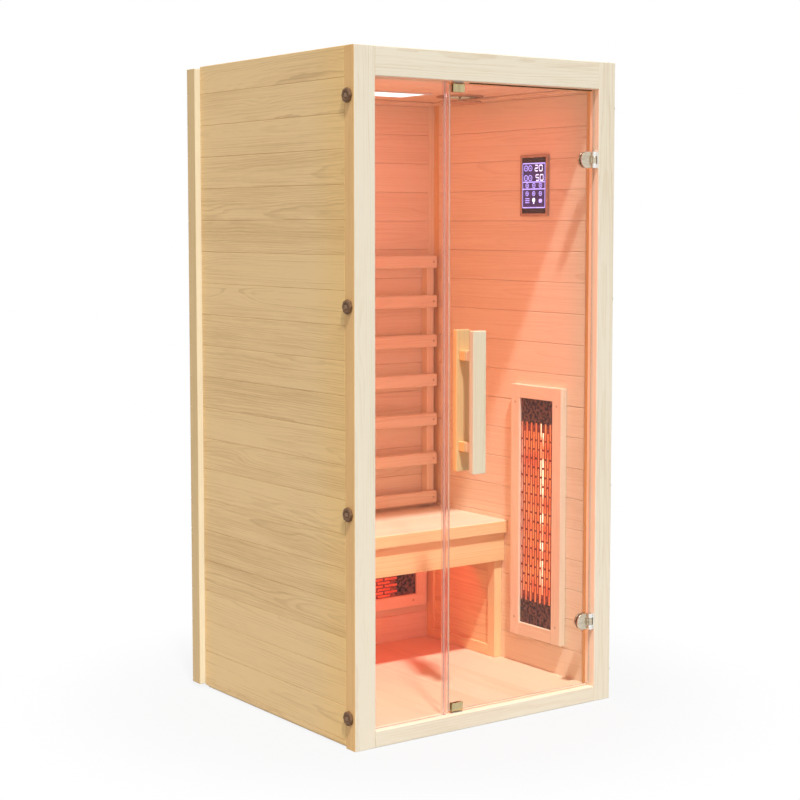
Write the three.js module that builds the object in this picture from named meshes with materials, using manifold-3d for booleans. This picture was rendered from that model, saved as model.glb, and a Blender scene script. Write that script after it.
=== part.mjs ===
// One-person infrared sauna cabin: softwood wall panels on a floor panel, a glass front with a hinged
// door, a bench with a slatted backrest, three infrared heaters, a lamp and a vent in the ceiling.
// Millimetres, +Z up. The front faces -Y, and the origin is under the middle of the footprint.
import * as THREE from "three";
import { mergeGeometries, mergeVertices } from "three/addons/utils/BufferGeometryUtils.js";
import Module from "manifold-3d";

// Cabin
const CABIN_W = 930; // over the side walls
const CABIN_D = 868; // front face of the frame to the back face of the back wall
const CABIN_H = 1900;
const FIT = 0.3; // gap between pieces that seat on each other
const LAP = 1; // how far two members of one glued panel run into each other

// Wall panels: outer boards and inner boards on a frame of posts and rails
const WALL_T = 50;
const BACK_T = 46;
const BACK_OVERHANG = 19; // back wall past each side wall
const BACK_DROP = 6; // back wall's top edge below the cabin's
const BACK_FOOT = 12; // back wall's bottom edge above the ground
const CLADDING_T = 12;
const LINING_T = 12;
const POST_W = 26;
const CORNER_POST_W = 23; // what shows of the back wall's posts inside
const RAIL_W = 60;
const CLADDING_FOOT = 8; // outer boards above the ground
const TOP_BOARD_H = 83;
const BOARD_PITCH = 94.4;
const LINING_FOOT = 20;
const LINING_FIRST_H = 88; // first inner board above the floor
const LINING_PITCH = 93.5;
const GROOVE_W = 5;
const GROOVE_DEPTH = 2.5;

// Floor and ceiling
const FLOOR_H = 42;
const DECK_T = 14;
const BEARER_W = 44;
const BEARERS = 3;
const CEILING_DROP = 72; // its underside below the cabin's top
const CEILING_T = 26;
const CEILING_BOARD_PITCH = 92;
const CORNICE_SIZE = 20;

// Front frame
const FRAME_D = 45;
const LEFT_STILE_W = 69;
const RIGHT_STILE_W = 63;
const TOP_RAIL_H = 80;
const BOTTOM_RAIL_H = 46;
const FRAME_CHAMFER = 2.5;

// Glass
const GLASS_T = 8;
const GLASS_SETBACK = 20; // front of the frame to the glass
const GLASS_GROOVE = 10; // how far the fixed pane enters the frame
const FIXED_GLASS_W = 249; // clear width of the fixed pane
const MEETING_GAP = 17; // fixed pane to door
const HINGE_GAP = 3; // door to right stile
const DOOR_TOP_GAP = 7;
const DOOR_BOTTOM_GAP = 7;
const SEAL_T = 2;
const SEAL_LAP = 9;
const SEAL_NOSE = 5;
const SEAL_FIN_GAP = 2.5; // tip of the seal's fin to the door

// Door hinges
const HINGE_H = 48;
const HINGE_FOOT_INSET = 191; // lower hinge's middle above the door's bottom edge
const HINGE_TOP_INSET = 197; // upper hinge's middle below the door's top edge
const KNUCKLE_R = 6.5;
const KNUCKLE_GAP = 0.7; // knuckles to the leaf on the stile
const KNUCKLE_H = 20; // the door's knuckle, between the leaf's two
const AXIS_RISE = 5.7; // axis in front of the clamp plates
const PIN_R = 3;
const LEAF_T = 3;
const LEAF_EDGE = 1.5; // leaf behind the front of the frame, and in front of the glass
const CLAMP_L = 40;
const CLAMP_T = 6;
const CLAMP_LAP = 2; // clamp plates past the left side of the knuckles
const CLAMP_BOLT_R = 6;

// Door handle: a bar on each side of the glass, on two spacers each
const HANDLE_W = 47;
const HANDLE_T = 20;
const HANDLE_L = 402;
const HANDLE_Z = 931;
const HANDLE_EDGE = 48; // left edge of the bar to the door's free edge
const HANDLE_CHAMFER = 3;
const GRIP_GAP = 25; // bar to glass
const SPACER_W = 30;
const SPACER_H = 28;
const SPACER_INSET = 58; // spacer to the end of the bar
const STUD_R = 4;

// Door catches: a metal clip on each free corner of the door, and a magnet in the rail
const CATCH_W = 40;
const CATCH_H = 22;
const CATCH_T = 3;
const CATCH_EDGE = 8;
const MAGNET_W = 34;
const MAGNET_D = 12;
const MAGNET_POCKET = 4;
const MAGNET_GAP = 1.4; // magnet to clip

// Bench and backrest
const SEAT_H = 489;
const SEAT_T = 40;
const SEAT_D = 392;
const SEAT_CHAMFER = 4;
const APRON_H = 91;
const APRON_T = 14;
const APRON_SETBACK = 15;
const SUPPORT_T = 28;
const SUPPORT_FRAME_W = 36;
const SUPPORT_RECESS = 8;
const SLATS = 7;
const SLAT_H = 41;
const SLAT_T = 20;
const SLAT_PITCH = 130.4;
const SLAT_RISE = 14; // lowest slat above the seat
const SLAT_ROUND = 5;
const SLAT_SIDE_GAP = 24; // slat ends to the side walls
const BATTEN_W = 26;
const BATTEN_D = 30;

// Heaters: a steel grille in a wooden frame, with a quartz tube in a reflector behind it
const GRILLE_W = 155;
const GRILLE_L = 710;
const GRILLE_T = 1;
const GRILLE_RECESS = 8;
const GRILLE_LAP = 6; // grille behind the frame's lip
const HEATER_BORDER = 41;
const HEATER_T = 24;
const HEATER_FOOT = 139; // wall heaters above the ground
const HEATER_BENCH_GAP = 43; // wall heaters to the bench's front
const SLOT_COLUMNS = 14;
const SLOT_W = 7.4;
const SLOT_L = 50.4;
const SLOT_BRIDGE = 6.4; // steel between two slots of a column
const GRILLE_END = 74; // plain ends of the grille
const REFLECTOR_T = 2;
const REFLECTOR_BACK_GAP = 6; // reflector to the outer boards of the thinner wall
const REFLECTOR_GAP = 4; // reflector's flange to the edge of the frame's rebate
const REFLECTOR_FLANGE = 12;
const HOLDER_L = 14;
const HOLDER_W = 34;
const TUBE_R = 6;
const TUBE_CAP_R = 9;
const TUBE_DEPTH = 6; // tube's axis behind the wall's face
const CALF_HEATER_GAP = 19; // heater under the bench to the bench's supports
const CALF_HEATER_DROP = 54; // the same heater's top below the seat

// Control panel on the right wall
const PANEL_W = 130;
const PANEL_H = 189;
const PANEL_T = 9;
const PANEL_BORDER = 12;
const PANEL_DROP = 353; // its middle below the cabin's top
const PANEL_SETBACK = 303; // its middle behind the front of the frame
const DISPLAY_T = 7;

// Ceiling lamp and vent
const LAMP_W = 330;
const LAMP_D = 160;
const LAMP_SHIFT = 146; // its middle behind the cabin's
const LAMP_FLANGE = 10;
const LAMP_FLANGE_T = 3;
const LAMP_WALL = 3;
const LAMP_DEPTH = 18;
const DIFFUSER_T = 5;
const VENT_SIDE_GAP = 115; // its middle to the right wall
const VENT_SHIFT = 101; // its middle behind the cabin's
const VENT_BORE_R = 48;
const VENT_FLANGE_R = 74;
const VENT_FLANGE_T = 4;
const VENT_COLLAR_T = 3;
const VENT_DISC_R = 68;
const VENT_DISC_T = 8;
const VENT_OPEN = 12; // disc below the ring at rest
const VENT_STEM_R = 4;
const VENT_BOSS_R = 9;
const VENT_BAR_W = 10;

// Power box on top of the ceiling
const POWER_BOX_W = 220;
const POWER_BOX_D = 150;
const POWER_BOX_H = 38;
const POWER_BOX_SIDE_GAP = 30;
const POWER_BOX_BACK_GAP = 70;
const LID_H = 10;
const LID_LIP = 2;
const INLET_R = 9;
const INLET_L = 16;

// Bolt caps on the sides of the front frame
const CAPS = 4;
const CAP_R = 20.5;
const CAP_T = 9;
const CAP_RIM_T = 4;
const CAP_DIMPLE_R = 8;
const CAP_DIMPLE = 2.5;
const CAP_SHANK_R = 5;
const CAP_SHANK_L = 16;
const CAP_SETBACK = 28;
const CAP_FOOT = 88; // lowest cap above the ground
const CAP_DROP = 132; // highest cap below the cabin's top

// Roundness and welding of the meshes
const ROUND_SIDES = 24;
const SMALL_SIDES = 16;
const MERGE_TOLERANCE = 1e-4;

// Planes that several pieces share
const X_OUT = CABIN_W / 2;
const X_IN = X_OUT - WALL_T;
const Y_FRONT = -CABIN_D / 2;
const Y_BACK = CABIN_D / 2;
const Y_FRAME_BACK = Y_FRONT + FRAME_D;
const Y_BACK_FACE = Y_BACK - BACK_T;
const Y_WALL_FRONT = Y_FRAME_BACK + FIT;
const Y_WALL_BACK = Y_BACK_FACE - FIT;
const Y_GLASS = Y_FRONT + GLASS_SETBACK;
const Y_GLASS_BACK = Y_GLASS + GLASS_T;
const OPENING_LEFT = -X_OUT + LEFT_STILE_W;
const OPENING_RIGHT = X_OUT - RIGHT_STILE_W;
const OPENING_TOP = CABIN_H - TOP_RAIL_H;
const FIXED_EDGE = OPENING_LEFT + FIXED_GLASS_W;
const DOOR_LEFT = FIXED_EDGE + MEETING_GAP;
const DOOR_RIGHT = OPENING_RIGHT - HINGE_GAP;
const DOOR_BOTTOM = BOTTOM_RAIL_H + DOOR_BOTTOM_GAP;
const DOOR_TOP = OPENING_TOP - DOOR_TOP_GAP;
const HINGE_LOW_Z = DOOR_BOTTOM + HINGE_FOOT_INSET;
const HINGE_HIGH_Z = DOOR_TOP - HINGE_TOP_INSET;
const LEAF_X = OPENING_RIGHT - FIT - LEAF_T;
const HINGE_X = LEAF_X - KNUCKLE_GAP - KNUCKLE_R;
const HINGE_Y = Y_GLASS - FIT - CLAMP_T - AXIS_RISE;
const CLAMP_RIGHT = HINGE_X - KNUCKLE_R + CLAMP_LAP;
const CLAMP_BOLT_X = CLAMP_RIGHT - CLAMP_L / 2;
const HANDLE_X = DOOR_LEFT + HANDLE_EDGE + HANDLE_W / 2;
const STUD_RISE = HANDLE_L / 2 - SPACER_INSET - SPACER_H / 2;
const CATCH_X = DOOR_LEFT + CATCH_EDGE + CATCH_W / 2;
const Y_BENCH = Y_BACK_FACE - SEAT_D;
const Y_APRON = Y_BENCH + APRON_SETBACK;
const SEAT_UNDER = SEAT_H - SEAT_T;
const CEILING_Z = CABIN_H - CEILING_DROP;
const CEILING_TOP = CEILING_Z + CEILING_T;
const HEATER_W = GRILLE_W + 2 * HEATER_BORDER;
const HEATER_L = GRILLE_L + 2 * HEATER_BORDER;
const HEATER_Y = Y_BENCH - HEATER_BENCH_GAP - HEATER_W / 2;
const HEATER_Z = HEATER_FOOT + HEATER_L / 2;
const CALF_HEATER_L = 2 * (X_IN - SUPPORT_T - CALF_HEATER_GAP);
const CALF_GRILLE_L = CALF_HEATER_L - 2 * HEATER_BORDER;
const CALF_HEATER_Z = SEAT_UNDER - CALF_HEATER_DROP - HEATER_W / 2;
const REFLECTOR_DEPTH = Math.min(WALL_T, BACK_T) - CLADDING_T - REFLECTOR_BACK_GAP;
const VENT_X = X_IN - VENT_SIDE_GAP;
const PANEL_Y = Y_FRONT + PANEL_SETBACK;
const PANEL_Z = CABIN_H - PANEL_DROP;
const CAP_PITCH = (CABIN_H - CAP_FOOT - CAP_DROP) / (CAPS - 1);

// Materials
function finish(color, roughness, metalness) {
  return new THREE.MeshStandardMaterial({ color, roughness, metalness });
}

const palePine = finish(0xf0e3c4, 0.6, 0);
const tanPine = finish(0xd9bd8b, 0.65, 0);
const backPine = finish(0xa8875a, 0.7, 0);
const innerPine = finish(0xeccfa6, 0.6, 0);
const clearGlass = new THREE.MeshStandardMaterial({
  color: 0xe6f2ee,
  roughness: 0.05,
  metalness: 0,
  transparent: true,
  opacity: 0.25,
});
const clearSeal = finish(0xf2e4ea, 0.35, 0);
const nickel = finish(0xb9b4a8, 0.3, 1);
const magnetSteel = finish(0x6c6c6e, 0.4, 1);
const capBrown = finish(0x2e221b, 0.5, 0);
const grilleBlack = finish(0x17161a, 0.55, 0.6);
const reflectorSteel = finish(0xc9c6c0, 0.25, 1);
const quartz = finish(0xff6a2a, 0.3, 0);
const copperBezel = finish(0xa9714b, 0.4, 0.4);
const displayBlack = finish(0x14122a, 0.15, 0);
const lampWhite = finish(0xf4f4f2, 0.4, 0);
const boxWhite = finish(0xdedcd6, 0.5, 0);

// Solid modelling with closed meshes
const wasm = await Module();
wasm.setup();

function toSolid(geometry) {
  const bare = new THREE.BufferGeometry();
  bare.setAttribute("position", geometry.getAttribute("position"));
  bare.setIndex(geometry.index);
  const merged = mergeVertices(bare, MERGE_TOLERANCE);
  const corners = merged.index.array;
  const triVerts = [];
  for (let i = 0; i < corners.length; i += 3) {
    const [a, b, c] = corners.slice(i, i + 3);
    if (a !== b && b !== c && c !== a) triVerts.push(a, b, c);
  }
  const mesh = new wasm.Mesh({
    numProp: 3,
    vertProperties: merged.getAttribute("position").array,
    triVerts: new Uint32Array(triVerts),
  });
  return new wasm.Manifold(mesh);
}

function toGeometry(solid) {
  const mesh = solid.getMesh();
  const geometry = new THREE.BufferGeometry();
  geometry.setAttribute("position", new THREE.BufferAttribute(mesh.vertProperties, 3));
  geometry.setIndex(new THREE.BufferAttribute(mesh.triVerts, 1));
  return geometry;
}

function join(...geometries) {
  return toGeometry(geometries.map(toSolid).reduce((whole, next) => whole.add(next)));
}

function cut(base, ...tools) {
  return toGeometry(tools.map(toSolid).reduce((rest, tool) => rest.subtract(tool), toSolid(base)));
}

// A box between two corners.
function block(x0, x1, y0, y1, z0, z1) {
  const geometry = new THREE.BoxGeometry(x1 - x0, y1 - y0, z1 - z0);
  return geometry.translate((x0 + x1) / 2, (y0 + y1) / 2, (z0 + z1) / 2);
}

// A box centred on the plane's axes, between two depths.
function slab(width, length, y0, y1) {
  return block(-width / 2, width / 2, y0, y1, -length / 2, length / 2);
}

// A section carried along an axis: (x, z) along Y, (y, z) along X and (x, y) along Z.
function prism(points, axis, from, to) {
  const shape = new THREE.Shape(points.map(([a, b]) => new THREE.Vector2(a, b)));
  return prismOf(shape, axis, from, to);
}

function prismOf(shape, axis, from, to, curveSegments = ROUND_SIDES / 4) {
  const settings = { depth: to - from, bevelEnabled: false, curveSegments };
  const geometry = new THREE.ExtrudeGeometry(shape, settings);
  if (axis === "y") return geometry.rotateX(Math.PI / 2).translate(0, to, 0);
  if (axis === "x") return geometry.rotateX(Math.PI / 2).rotateZ(Math.PI / 2).translate(from, 0, 0);
  return geometry.translate(0, 0, from);
}

// A round bar along an axis, through a centre given in the other two coordinates.
function rod(radius, axis, a, b, from, to, sides = SMALL_SIDES) {
  const geometry = new THREE.CylinderGeometry(radius, radius, to - from, sides);
  const middle = (from + to) / 2;
  if (axis === "x") return geometry.rotateZ(Math.PI / 2).translate(middle, a, b);
  if (axis === "y") return geometry.translate(a, middle, b);
  return geometry.rotateX(Math.PI / 2).translate(a, b, middle);
}

// A turned piece about Z: [radius, height] points from the axis at the bottom to the axis at the top.
function turned(points, sides = ROUND_SIDES) {
  const profile = points.map(([radius, height]) => new THREE.Vector2(radius, height));
  return toGeometry(toSolid(new THREE.LatheGeometry(profile, sides).rotateX(Math.PI / 2)));
}

// Section of tongue-and-groove boards: a strip from `low` to `high` with V grooves in its face at
// `face`, and a plain back at `back`. Grooves lie at `first` and then every `pitch` up or down.
function boardSection(low, high, face, back, first, pitch) {
  const inward = Math.sign(back - face);
  const points = [[back, low], [face, low]];
  const lowest = first - Math.floor((first - low - GROOVE_W) / pitch) * pitch;
  for (let at = lowest; at < high - GROOVE_W; at += pitch) {
    points.push([face, at - GROOVE_W / 2]);
    points.push([face + inward * GROOVE_DEPTH, at]);
    points.push([face, at + GROOVE_W / 2]);
  }
  points.push([face, high], [back, high]);
  return points;
}

// A rectangle with its corners cut off.
function chamferedSection(a0, a1, b0, b1, chamfer) {
  return [
    [a0 + chamfer, b0],
    [a1 - chamfer, b0],
    [a1, b0 + chamfer],
    [a1, b1 - chamfer],
    [a1 - chamfer, b1],
    [a0 + chamfer, b1],
    [a0, b1 - chamfer],
    [a0, b0 + chamfer],
  ];
}

// Scene graph
const cabin = new THREE.Group();

function add(parent, name, geometry, material) {
  const mesh = new THREE.Mesh(geometry, material);
  mesh.name = name;
  parent.add(mesh);
  return mesh;
}

// Floor panel: a glued deck on bearers
function buildFloor() {
  const half = X_IN - FIT;
  const deckZ = FLOOR_H - DECK_T;
  const deck = block(-half, half, Y_WALL_FRONT, Y_WALL_BACK, deckZ, FLOOR_H);
  const members = [];
  for (let i = 0; i < BEARERS; i++) {
    const x = (half - BEARER_W / 2) * (-1 + (2 * i) / (BEARERS - 1));
    members.push(block(x - BEARER_W / 2, x + BEARER_W / 2, Y_WALL_FRONT, Y_WALL_BACK, 0, deckZ + LAP));
  }
  for (const y of [Y_WALL_FRONT, Y_WALL_BACK - BEARER_W]) {
    members.push(block(-half, half, y, y + BEARER_W, 0, deckZ + LAP));
  }
  add(cabin, "floor_panel", join(deck, ...members), innerPine);
}

// The hole that a heater's reflector needs in the boards of a wall, in the heater's own frame
function reflectorSize(grilleLength) {
  const rebate = 2 * (GRILLE_LAP - REFLECTOR_GAP - REFLECTOR_FLANGE);
  return { width: GRILLE_W + rebate, length: grilleLength + rebate };
}

// Side wall: built as the right one, and mirrored for the left
function buildSideWall(side, name) {
  const wall = new THREE.Group();
  wall.scale.x = side;
  cabin.add(wall);
  const coreFace = X_IN + LINING_T;
  const cladBack = X_OUT - CLADDING_T;
  const firstGroove = CABIN_H - TOP_BOARD_H;
  const boards = boardSection(CLADDING_FOOT, CABIN_H, X_OUT, cladBack, firstGroove, BOARD_PITCH);
  const panel = join(
    prism(boards, "y", Y_WALL_FRONT, Y_WALL_BACK),
    block(X_IN, cladBack + LAP, Y_WALL_FRONT, Y_WALL_FRONT + POST_W, 0, CABIN_H),
    block(X_IN, cladBack + LAP, Y_WALL_BACK - POST_W, Y_WALL_BACK, 0, CABIN_H),
    block(coreFace, cladBack + LAP, Y_WALL_FRONT + LAP, Y_WALL_BACK - LAP, 0, RAIL_W),
    block(coreFace, cladBack + LAP, Y_WALL_FRONT + LAP, Y_WALL_BACK - LAP, CABIN_H - RAIL_W, CABIN_H),
  );
  add(wall, `${name}_wall_panel`, panel, tanPine);

  const firstInner = FLOOR_H + LINING_FIRST_H;
  const section = boardSection(LINING_FOOT, CABIN_H, X_IN, coreFace - FIT, firstInner, LINING_PITCH);
  const front = Y_WALL_FRONT + POST_W + FIT;
  const lining = prism(section, "y", front, Y_WALL_BACK - POST_W - FIT);
  const hole = reflectorSize(GRILLE_L);
  const window = block(
    X_IN - LAP,
    coreFace + LAP,
    HEATER_Y - hole.width / 2 - FIT,
    HEATER_Y + hole.width / 2 + FIT,
    HEATER_Z - hole.length / 2 - FIT,
    HEATER_Z + hole.length / 2 + FIT,
  );
  add(wall, `${name}_wall_lining`, cut(lining, window), innerPine);
}

// Back wall: wider than the cabin, so that its posts show past the side walls
function buildBackWall() {
  const half = X_OUT + BACK_OVERHANG;
  const postFrom = X_IN - CORNER_POST_W;
  const top = CABIN_H - BACK_DROP;
  const skin = Y_BACK - CLADDING_T;
  const coreFace = Y_BACK_FACE + LINING_T;
  const firstGroove = CABIN_H - TOP_BOARD_H;
  const boards = boardSection(BACK_FOOT, top, Y_BACK, skin, firstGroove, BOARD_PITCH);
  const panel = join(
    prism(boards, "x", -half, half),
    block(-half, -postFrom, Y_BACK_FACE, skin + LAP, BACK_FOOT, top),
    block(postFrom, half, Y_BACK_FACE, skin + LAP, BACK_FOOT, top),
    block(-half + LAP, half - LAP, coreFace, skin + LAP, BACK_FOOT, BACK_FOOT + RAIL_W),
    block(-half + LAP, half - LAP, coreFace, skin + LAP, top - RAIL_W, top),
  );
  add(cabin, "back_wall_panel", panel, backPine);

  const inner = postFrom - FIT;
  const firstInner = FLOOR_H + LINING_FIRST_H;
  const section = boardSection(LINING_FOOT, top, Y_BACK_FACE, coreFace - FIT, firstInner, LINING_PITCH);
  const lining = prism(section, "x", -inner, inner);
  const hole = reflectorSize(CALF_GRILLE_L);
  const window = block(
    -hole.length / 2 - FIT,
    hole.length / 2 + FIT,
    Y_BACK_FACE - LAP,
    coreFace + LAP,
    CALF_HEATER_Z - hole.width / 2 - FIT,
    CALF_HEATER_Z + hole.width / 2 + FIT,
  );
  add(cabin, "back_wall_lining", cut(lining, window), innerPine);
}

// Front frame: two stiles and two rails, grooved for the fixed pane
function buildFrontFrame() {
  const grooveFront = Y_GLASS - FIT;
  const grooveBack = Y_GLASS_BACK + FIT;
  const stileSection = (x0, x1) => chamferedSection(x0, x1, Y_FRONT, Y_FRAME_BACK, FRAME_CHAMFER);
  const capHoles = (side) => {
    const holes = [];
    for (let i = 0; i < CAPS; i++) {
      const z = CAP_FOOT + i * CAP_PITCH;
      const ends = [side * (X_OUT - CAP_SHANK_L - FIT), side * (X_OUT + LAP)];
      const y = Y_FRONT + CAP_SETBACK;
      holes.push(rod(CAP_SHANK_R + FIT, "x", y, z, Math.min(...ends), Math.max(...ends)));
    }
    return holes;
  };

  const glassLow = BOTTOM_RAIL_H - GLASS_GROOVE;
  const glassHigh = OPENING_TOP + GLASS_GROOVE;
  const stileGroove = block(
    OPENING_LEFT - GLASS_GROOVE,
    OPENING_LEFT + LAP,
    grooveFront,
    grooveBack,
    glassLow,
    glassHigh,
  );
  const leftStile = prism(stileSection(-X_OUT, OPENING_LEFT), "z", 0, CABIN_H);
  add(cabin, "front_left_stile", cut(leftStile, stileGroove, ...capHoles(-1)), palePine);
  const rightStile = prism(stileSection(OPENING_RIGHT, X_OUT), "z", 0, CABIN_H);
  add(cabin, "front_right_stile", cut(rightStile, ...capHoles(1)), palePine);

  const railLeft = OPENING_LEFT + FIT;
  const railRight = OPENING_RIGHT - FIT;
  const railSection = (z0, z1) => chamferedSection(Y_FRONT, Y_FRAME_BACK, z0, z1, FRAME_CHAMFER);
  const railGroove = (z0, z1) => block(railLeft - LAP, FIXED_EDGE + FIT, grooveFront, grooveBack, z0, z1);
  const pocket = (z0, z1) =>
    block(
      CATCH_X - MAGNET_W / 2 - FIT,
      CATCH_X + MAGNET_W / 2 + FIT,
      Y_GLASS + GLASS_T / 2 - MAGNET_D / 2 - FIT,
      Y_GLASS + GLASS_T / 2 + MAGNET_D / 2 + FIT,
      z0,
      z1,
    );
  const topRail = cut(
    prism(railSection(OPENING_TOP, CABIN_H), "x", railLeft, railRight),
    railGroove(OPENING_TOP - LAP, glassHigh),
    pocket(OPENING_TOP - LAP, OPENING_TOP + MAGNET_POCKET),
  );
  add(cabin, "front_top_rail", topRail, palePine);
  const bottomRail = cut(
    prism(railSection(0, BOTTOM_RAIL_H), "x", railLeft, railRight),
    railGroove(glassLow, BOTTOM_RAIL_H + LAP),
    pocket(BOTTOM_RAIL_H - MAGNET_POCKET, BOTTOM_RAIL_H + LAP),
  );
  add(cabin, "front_bottom_rail", bottomRail, palePine);
}

// Fixed pane in the frame's grooves, with a clear seal along its free edge
function buildFixedPane() {
  const glass = block(
    OPENING_LEFT - GLASS_GROOVE + FIT,
    FIXED_EDGE,
    Y_GLASS,
    Y_GLASS_BACK,
    BOTTOM_RAIL_H - GLASS_GROOVE + FIT,
    OPENING_TOP + GLASS_GROOVE - FIT,
  );
  add(cabin, "fixed_glass", glass, clearGlass);

  const outer = SEAL_T + FIT;
  const middle = Y_GLASS + GLASS_T / 2;
  const nose = FIXED_EDGE + SEAL_NOSE;
  const section = [
    [FIXED_EDGE - SEAL_LAP, Y_GLASS - outer],
    [nose, Y_GLASS - outer],
    [nose, middle - SEAL_T / 2],
    [DOOR_LEFT - SEAL_FIN_GAP, middle - SEAL_T / 2],
    [DOOR_LEFT - SEAL_FIN_GAP, middle + SEAL_T / 2],
    [nose, middle + SEAL_T / 2],
    [nose, Y_GLASS_BACK + outer],
    [FIXED_EDGE - SEAL_LAP, Y_GLASS_BACK + outer],
    [FIXED_EDGE - SEAL_LAP, Y_GLASS_BACK + FIT],
    [FIXED_EDGE + FIT, Y_GLASS_BACK + FIT],
    [FIXED_EDGE + FIT, Y_GLASS - FIT],
    [FIXED_EDGE - SEAL_LAP, Y_GLASS - FIT],
  ];
  add(cabin, "fixed_glass_seal", prism(section, "z", BOTTOM_RAIL_H + FIT, OPENING_TOP - FIT), clearSeal);
}

// Door leaf: one sheet of glass, drilled for the hinges and the handle
function buildDoorGlass() {
  const sheet = block(DOOR_LEFT, DOOR_RIGHT, Y_GLASS, Y_GLASS_BACK, DOOR_BOTTOM, DOOR_TOP);
  const drill = (x, z, radius) => rod(radius + FIT, "y", x, z, Y_GLASS - LAP, Y_GLASS_BACK + LAP);
  const holes = [
    drill(CLAMP_BOLT_X, HINGE_LOW_Z, CLAMP_BOLT_R),
    drill(CLAMP_BOLT_X, HINGE_HIGH_Z, CLAMP_BOLT_R),
    drill(HANDLE_X, HANDLE_Z - STUD_RISE, STUD_R),
    drill(HANDLE_X, HANDLE_Z + STUD_RISE, STUD_R),
  ];
  add(cabin, "door_glass", cut(sheet, ...holes), clearGlass);
}

// D-shaped clamp plate, round towards the middle of the door
function clampShape(z) {
  const radius = HINGE_H / 2;
  const centre = CLAMP_RIGHT - CLAMP_L + radius;
  const shape = new THREE.Shape();
  shape.moveTo(CLAMP_RIGHT, z - radius);
  shape.lineTo(CLAMP_RIGHT, z + radius);
  shape.lineTo(centre, z + radius);
  shape.absarc(centre, z, radius, Math.PI / 2, (3 * Math.PI) / 2, false);
  return shape;
}

// Hinge: a leaf with two knuckles and the pin on the stile, and two plates that clamp the glass, the
// outer one with the middle knuckle
function buildHinge(name, z) {
  const low = z - HINGE_H / 2;
  const high = z + HINGE_H / 2;
  const doorLow = z - KNUCKLE_H / 2;
  const doorHigh = z + KNUCKLE_H / 2;
  const leafFront = Y_FRONT + LEAF_EDGE;
  const knuckle = (z0, z1) =>
    join(
      rod(KNUCKLE_R, "z", HINGE_X, HINGE_Y, z0, z1),
      block(HINGE_X, LEAF_X + LAP, HINGE_Y - PIN_R, HINGE_Y + PIN_R, z0, z1),
    );
  const leaf = join(
    block(LEAF_X, LEAF_X + LEAF_T, leafFront, Y_GLASS - LEAF_EDGE, low, high),
    knuckle(low, doorLow - FIT),
    knuckle(doorHigh + FIT, high),
    rod(PIN_R, "z", HINGE_X, HINGE_Y, low, high),
  );
  add(cabin, `${name}_hinge_jamb_leaf`, leaf, nickel);

  const plateBack = Y_GLASS - FIT;
  const plateFront = plateBack - CLAMP_T;
  const outerPlate = join(
    prismOf(clampShape(z), "y", plateFront, plateBack),
    rod(KNUCKLE_R, "z", HINGE_X, HINGE_Y, doorLow, doorHigh),
    block(CLAMP_RIGHT - KNUCKLE_R, HINGE_X, HINGE_Y, plateBack, doorLow, doorHigh),
    rod(CLAMP_BOLT_R, "y", CLAMP_BOLT_X, z, plateFront + LAP, Y_GLASS_BACK),
  );
  const bore = rod(PIN_R + FIT, "z", HINGE_X, HINGE_Y, low, high);
  add(cabin, `${name}_hinge_outer_plate`, cut(outerPlate, bore), nickel);
  const innerPlate = prismOf(clampShape(z), "y", Y_GLASS_BACK + FIT, Y_GLASS_BACK + FIT + CLAMP_T);
  add(cabin, `${name}_hinge_inner_plate`, innerPlate, nickel);
}

// Handle bar with its two spacers. The outer one carries the studs that pass through the glass.
function buildHandle(name, towards, studLength) {
  const glassFace = towards < 0 ? Y_GLASS - FIT : Y_GLASS_BACK + FIT;
  const barNear = glassFace + towards * GRIP_GAP;
  const barFar = barNear + towards * HANDLE_T;
  const x0 = HANDLE_X - HANDLE_W / 2;
  const x1 = HANDLE_X + HANDLE_W / 2;
  const barFront = Math.min(barNear, barFar);
  const section = chamferedSection(x0, x1, barFront, barFront + HANDLE_T, HANDLE_CHAMFER);
  const pieces = [prism(section, "z", HANDLE_Z - HANDLE_L / 2, HANDLE_Z + HANDLE_L / 2)];
  for (const rise of [-STUD_RISE, STUD_RISE]) {
    const z = HANDLE_Z + rise;
    const inBar = barNear + towards * HANDLE_CHAMFER;
    const y0 = Math.min(glassFace, inBar);
    const y1 = Math.max(glassFace, inBar);
    const half = SPACER_W / 2;
    pieces.push(block(HANDLE_X - half, HANDLE_X + half, y0, y1, z - SPACER_H / 2, z + SPACER_H / 2));
    if (studLength > 0) pieces.push(rod(STUD_R, "y", HANDLE_X, z, y1 - LAP, y1 + studLength));
  }
  add(cabin, name, join(...pieces), palePine);
}

// Catch: a clip folded over the edge of the door glass, under or over a magnet in the rail
function buildCatch(name, edge, rail, up) {
  const x0 = CATCH_X - CATCH_W / 2;
  const x1 = CATCH_X + CATCH_W / 2;
  const y0 = Y_GLASS - FIT - CATCH_T;
  const y1 = Y_GLASS_BACK + FIT + CATCH_T;
  const inner = edge - up * CATCH_H;
  const outer = edge + up * (FIT + CATCH_T);
  const mouth = inner - up * LAP;
  const fold = edge + up * FIT;
  const clip = cut(
    block(x0, x1, y0, y1, Math.min(inner, outer), Math.max(inner, outer)),
    block(
      x0 - LAP,
      x1 + LAP,
      Y_GLASS - FIT,
      Y_GLASS_BACK + FIT,
      Math.min(mouth, fold),
      Math.max(mouth, fold),
    ),
  );
  add(cabin, `${name}_door_catch`, clip, nickel);

  const middle = Y_GLASS + GLASS_T / 2;
  const seat = rail + up * (MAGNET_POCKET - FIT);
  const face = outer + up * MAGNET_GAP;
  const magnet = block(
    CATCH_X - MAGNET_W / 2,
    CATCH_X + MAGNET_W / 2,
    middle - MAGNET_D / 2,
    middle + MAGNET_D / 2,
    Math.min(seat, face),
    Math.max(seat, face),
  );
  add(cabin, `${name}_catch_magnet`, magnet, magnetSteel);
}

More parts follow.
